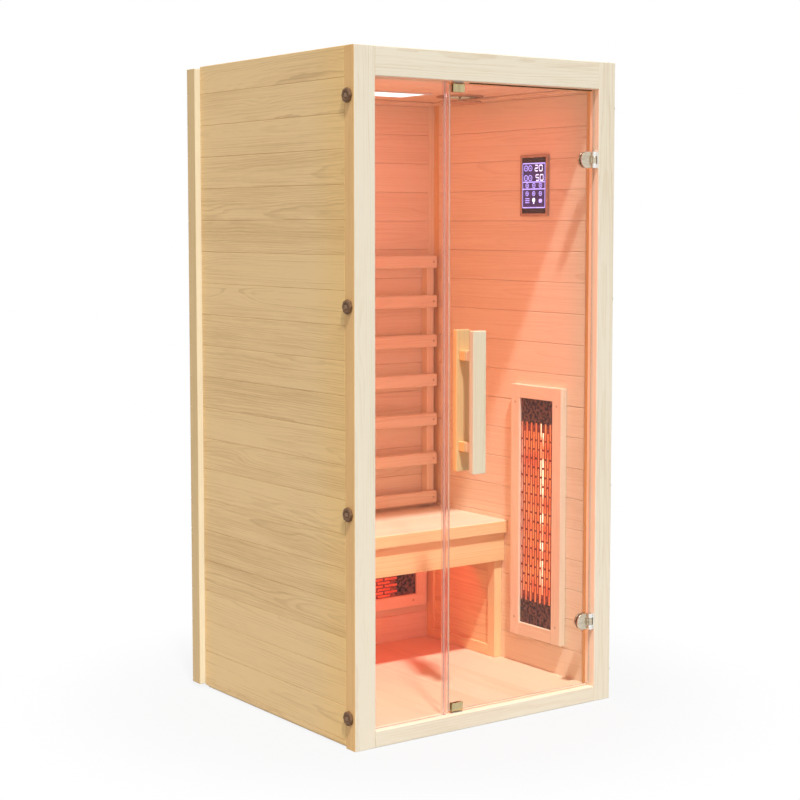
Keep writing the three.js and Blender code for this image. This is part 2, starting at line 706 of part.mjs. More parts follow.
// Bench: a glued seat with a chamfered front edge on two framed end supports, with an apron under it
function buildBench() {
  const half = X_IN - FIT;
  const back = Y_BACK_FACE - FIT;
  const section = [
    [back, SEAT_UNDER],
    [back, SEAT_H],
    [Y_BENCH + SEAT_CHAMFER, SEAT_H],
    [Y_BENCH, SEAT_H - SEAT_CHAMFER],
    [Y_BENCH, SEAT_UNDER + SEAT_CHAMFER],
    [Y_BENCH + SEAT_CHAMFER, SEAT_UNDER],
  ];
  add(cabin, "bench_seat", prism(section, "x", -half, half), innerPine);

  const apronTop = SEAT_UNDER - FIT;
  const apron = block(-half, half, Y_APRON, Y_APRON + APRON_T, apronTop - APRON_H, apronTop);
  add(cabin, "bench_apron", apron, innerPine);
  for (const [name, side] of [["left", -1], ["right", 1]]) buildBenchSupport(name, side);
}

function buildBenchSupport(name, side) {
  const outer = X_IN - FIT;
  const inner = outer - SUPPORT_T;
  const front = Y_APRON + APRON_T + FIT;
  const back = Y_BACK_FACE - FIT;
  const low = FLOOR_H + FIT;
  const high = SEAT_UNDER - FIT;
  const panelFace = inner + SUPPORT_RECESS;
  const ring = cut(
    block(inner, outer, front, back, low, high),
    block(
      inner - LAP,
      outer + LAP,
      front + SUPPORT_FRAME_W,
      back - SUPPORT_FRAME_W,
      low + SUPPORT_FRAME_W,
      high - SUPPORT_FRAME_W,
    ),
  );
  const firstGroove = FLOOR_H + LINING_FIRST_H;
  const section = boardSection(low + LAP, high - LAP, panelFace, outer - LAP, firstGroove, LINING_PITCH);
  const support = join(ring, prism(section, "y", front + LAP, back - LAP));
  const mesh = add(cabin, `${name}_bench_support`, support, innerPine);
  mesh.scale.x = side;
}

// Backrest: rounded slats on two battens that stand off the back wall
function buildBackrest() {
  const wall = Y_BACK_FACE - FIT;
  const slatBack = wall - BATTEN_D;
  const slatFront = slatBack - SLAT_T;
  const half = X_IN - SLAT_SIDE_GAP;
  const lowest = SEAT_H + SLAT_RISE;
  const top = lowest + (SLATS - 1) * SLAT_PITCH + SLAT_H;
  const pieces = [-1, 1].map((side) => {
    const x = side * (half - BATTEN_W / 2 - LAP);
    return block(x - BATTEN_W / 2, x + BATTEN_W / 2, slatBack - LAP, wall, lowest + LAP, top - LAP);
  });
  for (let i = 0; i < SLATS; i++) {
    const z = lowest + i * SLAT_PITCH;
    const section = chamferedSection(slatFront, slatBack, z, z + SLAT_H, SLAT_ROUND);
    pieces.push(prism(section, "x", -half, half));
  }
  add(cabin, "backrest", join(...pieces), innerPine);
}

// Heater in its own frame: the wall's face is the plane y = 0, the room lies towards -Y, the length
// runs along Z
function buildHeater(name, grilleLength, place) {
  const heater = new THREE.Group();
  place(heater);
  cabin.add(heater);
  const lipBack = -HEATER_T + GRILLE_RECESS;
  const rebateW = GRILLE_W + 2 * GRILLE_LAP;
  const rebateL = grilleLength + 2 * GRILLE_LAP;
  const frame = cut(
    slab(GRILLE_W + 2 * HEATER_BORDER, grilleLength + 2 * HEATER_BORDER, -HEATER_T, -FIT),
    slab(GRILLE_W, grilleLength, -HEATER_T - LAP, 0),
    slab(rebateW, rebateL, lipBack, 0),
  );
  add(heater, `${name}_heater_frame`, frame, innerPine);
  const plate = grille(rebateW - 2 * FIT, rebateL - 2 * FIT, grilleLength, lipBack);
  add(heater, `${name}_heater_grille`, plate, grilleBlack);
  add(heater, `${name}_heater_reflector`, reflector(grilleLength), reflectorSteel);
  add(heater, `${name}_heater_tube`, tube(grilleLength), quartz);
}

// Steel grille: columns of slots, every second column shifted by half a slot like bricks in a wall
function grille(width, length, grilleLength, lipBack) {
  const front = lipBack + FIT;
  const back = front + GRILLE_T;
  const slots = [];
  const columnPitch = GRILLE_W / SLOT_COLUMNS;
  const slotPitch = SLOT_L + SLOT_BRIDGE;
  const field = grilleLength - 2 * GRILLE_END + SLOT_BRIDGE;
  const fullRows = Math.floor(field / slotPitch);
  for (let column = 0; column < SLOT_COLUMNS; column++) {
    const x = (column - (SLOT_COLUMNS - 1) / 2) * columnPitch;
    const rows = fullRows - (column % 2);
    for (let row = 0; row < rows; row++) {
      const z = (row - (rows - 1) / 2) * slotPitch;
      slots.push(slab(SLOT_W, SLOT_L, front - LAP, back + LAP).translate(x, 0, z));
    }
  }
  return cut(slab(width, length, front, back), mergeGeometries(slots));
}

// Reflector: a steel trough with a flange on the wall's face and a holder for the tube at each end
function reflector(grilleLength) {
  const { width, length } = reflectorSize(grilleLength);
  const flange = 2 * REFLECTOR_FLANGE;
  const trough = join(
    slab(width + flange, length + flange, -FIT - REFLECTOR_T, -FIT),
    slab(width, length, -FIT - LAP, REFLECTOR_DEPTH),
  );
  const hollow = slab(
    width - 2 * REFLECTOR_T,
    length - 2 * REFLECTOR_T,
    -FIT - REFLECTOR_T - LAP,
    REFLECTOR_DEPTH - REFLECTOR_T,
  );
  const holders = [-1, 1].map((end) => {
    const z = (end * (length - HOLDER_L)) / 2;
    const brow = TUBE_DEPTH - TUBE_CAP_R - REFLECTOR_T;
    return slab(HOLDER_W, HOLDER_L, brow, REFLECTOR_DEPTH - LAP).translate(0, 0, z);
  });
  const reach = tubeLength(grilleLength) / 2 + FIT;
  const socket = rod(TUBE_CAP_R + FIT, "z", 0, TUBE_DEPTH, -reach, reach);
  return cut(join(cut(trough, hollow), ...holders), socket);
}

function tubeLength(grilleLength) {
  return reflectorSize(grilleLength).length - HOLDER_L;
}

// Quartz tube with a ceramic cap at each end, seated halfway into the holders
function tube(grilleLength) {
  const end = tubeLength(grilleLength) / 2;
  const neck = end - HOLDER_L;
  const profile = [
    [0, -end],
    [TUBE_CAP_R, -end],
    [TUBE_CAP_R, -neck],
    [TUBE_R, -neck],
    [TUBE_R, neck],
    [TUBE_CAP_R, neck],
    [TUBE_CAP_R, end],
    [0, end],
  ];
  return turned(profile, SMALL_SIDES).translate(0, TUBE_DEPTH, 0);
}

// Control panel: a bezel round a touch display, on the right wall's face
function buildControlPanel() {
  const panel = new THREE.Group();
  panel.position.set(X_IN, PANEL_Y, PANEL_Z);
  panel.rotation.z = -Math.PI / 2;
  cabin.add(panel);
  const openW = PANEL_W - 2 * PANEL_BORDER;
  const openH = PANEL_H - 2 * PANEL_BORDER;
  const bezel = cut(slab(PANEL_W, PANEL_H, -PANEL_T, -FIT), slab(openW, openH, -PANEL_T - LAP, LAP));
  add(panel, "control_panel_bezel", bezel, copperBezel);
  add(panel, "control_panel_display", slab(openW - 2 * FIT, openH - 2 * FIT, -DISPLAY_T, -FIT), displayBlack);
}

// Ceiling panel on a cornice of battens, with openings for the lamp and the vent
function buildCeiling() {
  const half = X_IN - FIT;
  const lampHole = block(
    -LAMP_W / 2 + LAMP_FLANGE - FIT,
    LAMP_W / 2 - LAMP_FLANGE + FIT,
    LAMP_SHIFT - LAMP_D / 2 + LAMP_FLANGE - FIT,
    LAMP_SHIFT + LAMP_D / 2 - LAMP_FLANGE + FIT,
    CEILING_Z - LAP,
    CEILING_TOP + LAP,
  );
  const collar = VENT_BORE_R + VENT_COLLAR_T + FIT;
  const ventHole = rod(collar, "z", VENT_X, VENT_SHIFT, CEILING_Z - LAP, CEILING_TOP + LAP, ROUND_SIDES);
  // The section is drawn standing, with the board faces to the left, and laid down so that they face down.
  const standing = boardSection(-half, half, CEILING_Z, CEILING_TOP, 0, CEILING_BOARD_PITCH);
  const boards = prism(standing.map(([z, x]) => [-x, z]), "y", Y_WALL_FRONT, Y_WALL_BACK);
  add(cabin, "ceiling_panel", cut(boards, lampHole, ventHole), innerPine);

  const top = CEILING_Z - FIT;
  const cornice = cut(
    block(-half, half, Y_WALL_FRONT, Y_WALL_BACK, top - CORNICE_SIZE, top),
    block(
      -half + CORNICE_SIZE,
      half - CORNICE_SIZE,
      Y_WALL_FRONT + CORNICE_SIZE,
      Y_WALL_BACK - CORNICE_SIZE,
      top - CORNICE_SIZE - LAP,
      top + LAP,
    ),
  );
  add(cabin, "ceiling_cornice", cornice, innerPine);
}

// Lamp: a flanged housing set into the ceiling, with a white diffuser
function buildLamp() {
  const lamp = new THREE.Group();
  lamp.position.set(0, LAMP_SHIFT, CEILING_Z - FIT);
  cabin.add(lamp);
  const plate = (width, depth, z0, z1) => block(-width / 2, width / 2, -depth / 2, depth / 2, z0, z1);
  const bodyW = LAMP_W - 2 * LAMP_FLANGE;
  const bodyD = LAMP_D - 2 * LAMP_FLANGE;
  const openW = bodyW - 2 * LAMP_WALL;
  const openD = bodyD - 2 * LAMP_WALL;
  const housing = cut(
    join(plate(LAMP_W, LAMP_D, -LAMP_FLANGE_T, 0), plate(bodyW, bodyD, -LAMP_FLANGE_T + LAP, LAMP_DEPTH)),
    plate(openW, openD, -LAMP_FLANGE_T - LAP, LAMP_DEPTH - LAMP_WALL),
  );
  add(lamp, "lamp_housing", housing, lampWhite);
  const face = -LAMP_FLANGE_T + LAP;
  add(lamp, "lamp_diffuser", plate(openW - 2 * FIT, openD - 2 * FIT, face, face + DIFFUSER_T), lampWhite);
}

// Vent: a flanged ring through the ceiling with a bar that holds the stem, and a disc on the stem
// that moves up to close it
function buildVent() {
  const vent = new THREE.Group();
  vent.position.set(VENT_X, VENT_SHIFT, CEILING_Z - FIT);
  cabin.add(vent);
  const collarR = VENT_BORE_R + VENT_COLLAR_T;
  const ring = cut(
    join(
      rod(VENT_FLANGE_R, "z", 0, 0, -VENT_FLANGE_T, 0, ROUND_SIDES),
      rod(collarR, "z", 0, 0, -LAP, CEILING_T, ROUND_SIDES),
    ),
    rod(VENT_BORE_R, "z", 0, 0, -VENT_FLANGE_T - LAP, CEILING_T + LAP, ROUND_SIDES),
  );
  const bar = join(
    block(-VENT_BORE_R - LAP, VENT_BORE_R + LAP, -VENT_BAR_W / 2, VENT_BAR_W / 2, 0, VENT_BAR_W),
    rod(VENT_BOSS_R, "z", 0, 0, 0, VENT_BAR_W),
  );
  const stemHole = rod(VENT_STEM_R + FIT, "z", 0, 0, -LAP, VENT_BAR_W + LAP);
  add(vent, "vent_ring", join(ring, cut(bar, stemHole)), innerPine);

  const discTop = -VENT_FLANGE_T - VENT_OPEN;
  const discLow = discTop - VENT_DISC_T;
  const disc = turned([
    [0, discLow],
    [VENT_DISC_R - VENT_DISC_T, discLow],
    [VENT_DISC_R, discTop - VENT_DISC_T / 2],
    [VENT_DISC_R, discTop],
    [VENT_STEM_R, discTop],
    [VENT_STEM_R, CEILING_T],
    [0, CEILING_T],
  ]);
  add(vent, "vent_disc", disc, innerPine);
}

// Power box: a closed housing with an overlapping lid and the inlet for the mains lead
function buildPowerBox() {
  const box = new THREE.Group();
  const y = Y_BACK_FACE - POWER_BOX_BACK_GAP - POWER_BOX_D / 2;
  const x = X_IN - POWER_BOX_SIDE_GAP - POWER_BOX_W / 2;
  box.position.set(x, y, CEILING_TOP + FIT);
  cabin.add(box);
  const w = POWER_BOX_W / 2;
  const d = POWER_BOX_D / 2;
  const lid = chamferedSection(-w, w, -d, d, LID_LIP);
  const body = chamferedSection(-w + LID_LIP, w - LID_LIP, -d + LID_LIP, d - LID_LIP, LID_LIP);
  const bodyH = POWER_BOX_H - LID_H;
  const inletZ = bodyH / 2;
  const housing = join(
    prism(body, "z", 0, bodyH + LAP),
    prism(lid, "z", bodyH, POWER_BOX_H),
    rod(INLET_R, "y", w / 2, inletZ, d - LID_LIP - LAP, d + INLET_L),
  );
  const mouth = rod(INLET_R / 2, "y", w / 2, inletZ, d, d + INLET_L + LAP);
  add(box, "power_box", cut(housing, mouth), boxWhite);
}

// Bolt caps: round dimpled covers over the bolts that hold the front frame to the side walls
function buildBoltCaps() {
  const profile = [
    [0, -CAP_SHANK_L],
    [CAP_SHANK_R, -CAP_SHANK_L],
    [CAP_SHANK_R, FIT],
    [CAP_R, FIT],
    [CAP_R, CAP_RIM_T],
    [CAP_R - CAP_RIM_T, CAP_T],
    [CAP_DIMPLE_R, CAP_T],
    [0, CAP_T - CAP_DIMPLE],
  ];
  for (const [name, side] of [["left", -1], ["right", 1]]) {
    for (let i = 0; i < CAPS; i++) {
      const geometry = turned(profile, SMALL_SIDES).rotateY(Math.PI / 2);
      const cap = add(cabin, `${name}_bolt_cap_${i + 1}`, geometry, capBrown);
      cap.position.set(side * X_OUT, Y_FRONT + CAP_SETBACK, CAP_FOOT + i * CAP_PITCH);
      cap.scale.x = side;
    }
  }
}

buildFloor();
buildSideWall(-1, "left");
buildSideWall(1, "right");
buildBackWall();
buildFrontFrame();
buildFixedPane();
buildDoorGlass();
buildHinge("lower", HINGE_LOW_Z);
buildHinge("upper", HINGE_HIGH_Z);
buildHandle("outer_handle", -1, GLASS_T);
buildHandle("inner_handle", 1, 0);
buildCatch("lower", DOOR_BOTTOM, BOTTOM_RAIL_H, -1);
buildCatch("upper", DOOR_TOP, OPENING_TOP, 1);
buildBench();
buildBackrest();
buildHeater("right", GRILLE_L, (heater) => {
  heater.position.set(X_IN, HEATER_Y, HEATER_Z);
  heater.rotation.z = -Math.PI / 2;
});
buildHeater("left", GRILLE_L, (heater) => {
  heater.position.set(-X_IN, HEATER_Y, HEATER_Z);
  heater.rotation.z = Math.PI / 2;
});
buildHeater("calf", CALF_GRILLE_L, (heater) => {
  heater.position.set(0, Y_BACK_FACE, CALF_HEATER_Z);
  heater.rotation.y = Math.PI / 2;
});
buildControlPanel();
buildCeiling();
buildLamp();
buildVent();
buildPowerBox();
buildBoltCaps();

export default cabin;
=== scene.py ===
"""One-person infrared sauna cabin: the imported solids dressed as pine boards, glass, metal and glowing heaters.

Metres, +Z up, the front faces -Y. Every new piece is a surface worked out with numpy in the frame of the solids.
"""

import logging
import math
import zlib
from collections.abc import Callable, Iterable, Sequence
from dataclasses import dataclass, field
from enum import Enum, IntEnum

import bpy
import numpy as np
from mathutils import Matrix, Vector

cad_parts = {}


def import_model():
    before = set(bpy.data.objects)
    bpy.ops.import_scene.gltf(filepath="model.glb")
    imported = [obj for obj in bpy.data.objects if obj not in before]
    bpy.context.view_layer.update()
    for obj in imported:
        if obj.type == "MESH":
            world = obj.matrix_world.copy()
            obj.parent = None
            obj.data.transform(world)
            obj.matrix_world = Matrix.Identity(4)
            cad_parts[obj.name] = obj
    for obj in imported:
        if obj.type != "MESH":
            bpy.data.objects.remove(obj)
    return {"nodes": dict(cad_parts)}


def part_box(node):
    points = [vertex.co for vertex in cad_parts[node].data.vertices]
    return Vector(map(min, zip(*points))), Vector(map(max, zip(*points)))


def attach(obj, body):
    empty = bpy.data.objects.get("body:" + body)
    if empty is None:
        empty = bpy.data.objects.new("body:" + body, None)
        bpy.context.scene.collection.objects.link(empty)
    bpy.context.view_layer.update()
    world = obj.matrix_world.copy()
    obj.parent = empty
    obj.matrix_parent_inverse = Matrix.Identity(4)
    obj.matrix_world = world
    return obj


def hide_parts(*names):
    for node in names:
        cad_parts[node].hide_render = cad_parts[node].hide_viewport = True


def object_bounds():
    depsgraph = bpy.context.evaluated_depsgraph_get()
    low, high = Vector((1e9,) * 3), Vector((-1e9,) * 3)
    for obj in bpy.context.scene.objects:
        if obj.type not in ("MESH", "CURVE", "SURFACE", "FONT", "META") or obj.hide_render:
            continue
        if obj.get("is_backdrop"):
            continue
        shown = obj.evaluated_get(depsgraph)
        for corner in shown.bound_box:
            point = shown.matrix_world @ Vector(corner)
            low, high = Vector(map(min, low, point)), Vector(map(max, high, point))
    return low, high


LOG = logging.getLogger("sauna_cabin")
MM = 0.001
SHARP = 0.00008  # radius of an edge that counts as sharp

Array = np.ndarray
Outline = Callable[[float], tuple[Array, Array]]
Colour = tuple[float, float, float]


class Axis(IntEnum):
    """Direction in which a timber or a plate runs."""

    X = 0
    Y = 1
    Z = 2


class Body(str, Enum):
    """Moving bodies of the cabin."""

    CABIN = "cabin"
    DOOR = "door"
    VENT = "vent"


class Slot(str, Enum):
    """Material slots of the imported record."""

    FRAME_PINE = "frame_pine"
    CLADDING_PINE = "cladding_pine"
    BACK_PINE = "back_pine"
    INTERIOR_PINE = "interior_pine"
    CLEAR_GLASS = "clear_glass"
    CLEAR_SEAL = "clear_seal"
    SATIN_NICKEL = "satin_nickel"
    MAGNET_STEEL = "magnet_steel"
    CAP_BROWN = "cap_brown"
    GRILLE_BLACK = "grille_black"
    REFLECTOR_STEEL = "reflector_steel"
    QUARTZ_TUBE = "quartz_tube"
    BEZEL_BROWN = "bezel_brown"
    DISPLAY_BLACK = "display_black"
    LAMP_WHITE = "lamp_white"
    DIFFUSER_WHITE = "diffuser_white"
    BOX_WHITE = "box_white"


# Surfaces


def rounded_rectangle(lo: Sequence[float], hi: Sequence[float], radii: Sequence[float], steps: int) -> Outline:
    """Outline of a rectangle with rounded corners.

    Each corner is a quarter circle about a centre that stands one radius inside two sides. An inset moves the
    sides in and takes as much off the radii.

    Args:
        lo: lower corner in the plane of the outline.
        hi: upper corner.
        radii: radius of the corners at (hi, hi), (lo, hi), (lo, lo) and (hi, lo).
        steps: points of each corner.

    Returns:
        A function from an inset to the points of the outline and their outward directions.
    """
    signs = np.array([[1, 1], [-1, 1], [-1, -1], [1, -1]], float)[:, None, :]
    angles = np.arange(4)[:, None] * math.pi / 2 + np.linspace(0, math.pi / 2, steps)[None, :]
    outward = np.stack([np.cos(angles), np.sin(angles)], -1)
    middle = (np.asarray(lo, float) + np.asarray(hi, float)) / 2
    half = (np.asarray(hi, float) - np.asarray(lo, float)) / 2

    def outline(inset: float) -> tuple[Array, Array]:
        """Points and directions at an inset."""
        radius = np.maximum(np.asarray(radii, float) - inset, SHARP)[:, None, None]
        points = middle + signs * (half - inset - radius) + radius * outward
        return points.reshape(-1, 2), outward.reshape(-1, 2)

    return outline


def lobed_circle(centre: Sequence[float], radius: float, steps: int, lobes: int = 0, depth: float = 0.0) -> Outline:
    """Outline of a circle whose radius swells and shrinks: r(t) = (radius - inset) * (1 - depth + depth * cos(lobes t)).

    Args:
        centre: middle of the circle in the plane of the outline.
        radius: largest radius.
        steps: points of the outline.
        lobes: number of swellings, 0 for a plain circle.
        depth: share of the radius that the swellings take.

    Returns:
        A function from an inset to the points of the outline and their outward directions.
    """
    angles = np.linspace(0, 2 * math.pi, steps, endpoint=False)
    outward = np.stack([np.cos(angles), np.sin(angles)], -1)
    swell = (1 - depth + depth * np.cos(lobes * angles))[:, None]

    def outline(inset: float) -> tuple[Array, Array]:
        """Points and directions at an inset."""
        return np.asarray(centre, float) + (radius - inset) * swell * outward, outward

    return outline


def clamp_outline(flat: float, centre: Sequence[float], radius: float, steps: int) -> Outline:
    """Outline of a D: a half circle on the side of the lower second coordinate, closed by a straight edge.

    Args:
        flat: second coordinate of the straight edge.
        centre: middle of the half circle.
        radius: radius of the half circle, and half the length of the straight edge.
        steps: points of the half circle.

    Returns:
        A function from an inset to the points of the outline and their outward directions.
    """
    turn = np.linspace(math.pi, 2 * math.pi, steps)
    bow = np.stack([np.cos(turn), np.sin(turn)], -1)
    corner = np.array([[1, 0], [math.sqrt(0.5), math.sqrt(0.5)], [0, 1]])
    ease = 0.0012

    def outline(inset: float) -> tuple[Array, Array]:
        """Points and directions at an inset."""
        arc = np.asarray(centre, float) + (radius - inset) * bow
        round_off = max(ease - inset, SHARP)
        reach = radius - inset - round_off
        ends = np.array([[centre[0] + reach, flat - inset - round_off], [centre[0] - reach, flat - inset - round_off]])
        first = ends[0] + round_off * corner
        last = ends[1] + round_off * corner[::-1] * np.array([-1, 1])
        outward = np.concatenate([bow, corner, corner[::-1] * np.array([-1, 1])])
        return np.concatenate([arc, first, last]), outward

    return outline


def ribbon_outline(path: Array, thickness: float) -> Outline:
    """Outline of a bent strip: the path moved half a thickness to each side, the second side taken backwards.

    Args:
        path: points of the strip's middle line.
        thickness: thickness of the strip.

    Returns:
        A function from an inset to the points of the outline and their outward directions.
    """
    along = np.gradient(path, axis=0)
    along /= np.linalg.norm(along, axis=1, keepdims=True)
    side = np.stack([along[:, 1], -along[:, 0]], -1)

    def outline(inset: float) -> tuple[Array, Array]:
        """Points and directions at an inset."""
        middle = path.copy()
        middle[0] += along[0] * inset
        middle[-1] -= along[-1] * inset
        reach = side * (thickness / 2 - inset)
        return np.concatenate([middle + reach, (middle - reach)[::-1]]), np.concatenate([side, -side[::-1]])

    return outline


def ring_grid(outline: Outline, axis: Axis, insets: Array, places: Array, leans: Array) -> tuple[Array, Array]:
    """Stacks outlines along an axis into a grid of points.

    The two coordinates of the outline are the two axes that follow the given one in the order x, y, z, x, y.
    A ring's direction leans from the outline's own direction towards the axis by the given sine.

    Args:
        outline: outline to stack.
        axis: direction of the stack.
        insets: inset of each ring.
        places: place of each ring on the axis.
        leans: sine of the angle between each ring's direction and the plane of the outline.

    Returns:
        Points and directions, each of the shape rings x points x 3.
    """
    rings = [outline(float(inset)) for inset in insets]
    flat = np.stack([ring[0] for ring in rings])
    outward = np.stack([ring[1] for ring in rings])
    second, third = (axis + 1) % 3, (axis + 2) % 3
    points = np.empty(flat.shape[:2] + (3,))
    points[..., axis] = np.asarray(places)[:, None]
    points[..., second] = flat[..., 0]
    points[..., third] = flat[..., 1]
    upright = np.sqrt(1 - np.asarray(leans) ** 2)[:, None]
    normals = np.empty_like(points)
    normals[..., axis] = np.asarray(leans)[:, None]
    normals[..., second] = upright * outward[..., 0]
    normals[..., third] = upright * outward[..., 1]
    return points, normals


def rounded_bar(outline: Outline, axis: Axis, span: Sequence[float], rim: float, steps: int) -> tuple[Array, Array]:
    """Carries an outline along an axis and rounds both ends.

    Near an end the rings follow a quarter circle: at the angle f from the side, a ring is inset by
    rim * (1 - cos f) and stands rim * (1 - sin f) inside the end.

    Args:
        outline: outline to carry.
        axis: direction of the bar.
        span: places of its two ends.
        rim: radius of the rounded ends.
        steps: rings of each end.

    Returns:
        Points and directions, each of the shape rings x points x 3.
    """
    bend = np.linspace(math.pi / 2, 0, steps)
    inset = rim * (1 - np.cos(bend))
    depth = rim * (1 - np.sin(bend))
    return ring_grid(
        outline,
        axis,
        np.concatenate([inset, inset[::-1]]),
        np.concatenate([span[0] + depth, (span[1] - depth)[::-1]]),
        np.concatenate([-np.sin(bend), np.sin(bend)[::-1]]),
    )


@dataclass
class Shell:
    """Surfaces of one piece, gathered part by part, with the grain of each timber.

    Attributes:
        name: name of the piece, from which its random draws are seeded.
        exact: whether the parts bring their own directions; otherwise edges over 32 degrees are sharp.
    """

    name: str
    exact: bool = True
    points: list[Array] = field(default_factory=list)
    normals: list[Array] = field(default_factory=list)
    grain: list[Array] = field(default_factory=list)
    tone: list[Array] = field(default_factory=list)
    faces: list[list[int]] = field(default_factory=list)
    count: int = 0

    def __post_init__(self) -> None:
        """Seeds the piece's random draws from its name."""
        self.draw = np.random.default_rng(zlib.crc32(self.name.encode()))

    def grid(self, points: Array, normals: Array, closed: bool = False, grain: Array | None = None, tone: float = 0.5) -> None:
        """Adds a grid whose rings are closed, with a cap at each end or with the last ring joined to the first.

        Args:
            points: rings x points x 3.
            normals: directions of the points.
            closed: whether the last ring joins the first, as in a frame or a torus.
            grain: place of each point in its timber's own log.
            tone: shade of the part from 0, light, to 1, dark.
        """
        rings, size = points.shape[:2]
        index = np.arange(rings * size).reshape(rings, size) + self.count
        low = index if closed else index[:-1]
        high = np.roll(index, -1, 0) if closed else index[1:]
        quads = np.stack([low, np.roll(low, -1, 1), np.roll(high, -1, 1), high], -1)
        self.faces += quads.reshape(-1, 4).tolist()
        if not closed:
            self.faces += [index[0, ::-1].tolist(), index[-1].tolist()]
        flat = points.reshape(-1, 3)
        self.points.append(flat)
        self.normals.append(normals.reshape(-1, 3))
        self.grain.append(flat if grain is None else grain.reshape(-1, 3))
        self.tone.append(np.full(len(flat), tone))
        self.count += len(flat)

    def bar(self, outline: Outline, axis: Axis, span: Sequence[float], rim: float, steps: int = 3) -> None:
        """Adds a bar or plate with rounded ends along an axis."""
        points, normals = rounded_bar(outline, axis, span, rim, steps)
        self.grid(points, normals)

    def turned(self, outline: Outline, axis: Axis, reach: float, profile: Iterable[tuple[float, float]], closed: bool = False) -> None:
        """Adds a stack of outlines given as (distance from the axis, place on the axis) pairs.

        Args:
            outline: outline whose full size is the reach.
            axis: direction of the stack.
            reach: distance from the axis of the outline with no inset.
            profile: pairs in the order that keeps the outside on the outline's side.
            closed: whether the last pair joins the first.
        """
        pairs = np.array(list(profile))
        points, normals = ring_grid(outline, axis, reach - pairs[:, 0], pairs[:, 1], np.zeros(len(pairs)))
        self.grid(points, normals, closed)

    def timber(self, lo: Sequence[float], hi: Sequence[float], axis: Axis, radius: float | Sequence[float] = 0.002, steps: int = 3, rim: float | None = None) -> None:
        """Adds a rounded timber, sawn at random from a log of its own.

        The grain of a point is its place along the log and its two distances from the pith. The pith lies a few
        centimetres behind the broad face, off the middle of the width, as in a board sawn through and through.

        Args:
            lo: lower corner.
            hi: upper corner.
            axis: direction of the fibres.
            radius: radius of the long edges, one for all or one for each, in the order of rounded_rectangle.
            steps: points of each rounded edge.
            rim: radius of the ends, if it isn't that of the edges.
        """
        lo, hi = np.asarray(lo, float), np.asarray(hi, float)
        cross = [(axis + 1) % 3, (axis + 2) % 3]
        radii = np.broadcast_to(np.asarray(radius, float), (4,))
        outline = rounded_rectangle(lo[cross], hi[cross], radii, steps)
        end = float(radii.max()) if rim is None else rim
        points, normals = rounded_bar(outline, axis, (lo[axis], hi[axis]), end, steps)
        extent = (hi - lo)[cross]
        wide, deep = (cross[0], cross[1]) if extent[0] >= extent[1] else (cross[1], cross[0])
        middle = (lo + hi) / 2
        width = (hi - lo)[wide]
        pith_side = self.draw.uniform(-0.6, 0.6) * width
        pith_depth = self.draw.choice([-1, 1]) * self.draw.uniform(0.014, 0.075)
        grain = np.stack(
            [
                points[..., axis] - lo[axis] + self.draw.uniform(0, 30),
                points[..., wide] - middle[wide] + pith_side,
                points[..., deep] - middle[deep] + pith_depth,
            ],
            -1,
        )
        self.grid(points, normals, grain=grain, tone=self.draw.uniform(0, 1))

    def mesh(self) -> bpy.types.Mesh:
        """Puts the gathered surfaces into a mesh with its grain and tone attributes."""
        points = np.concatenate(self.points)
        mesh = bpy.data.meshes.new(self.name)
        mesh.from_pydata(points, [], self.faces)
        mesh.polygons.foreach_set("use_smooth", np.ones(len(mesh.polygons), bool))
        grain = mesh.attributes.new("grain", "FLOAT_VECTOR", "POINT")
        grain.data.foreach_set("vector", np.concatenate(self.grain).astype(np.float32).ravel())
        tone = mesh.attributes.new("tone", "FLOAT", "POINT")
        tone.data.foreach_set("value", np.concatenate(self.tone).astype(np.float32))
        if self.exact:
            mesh.normals_split_custom_set_from_vertices(np.concatenate(self.normals))
        else:
            mesh.set_sharp_from_angle(angle=math.radians(32))
        mesh.update()
        return mesh


# Node sheets and shared effects


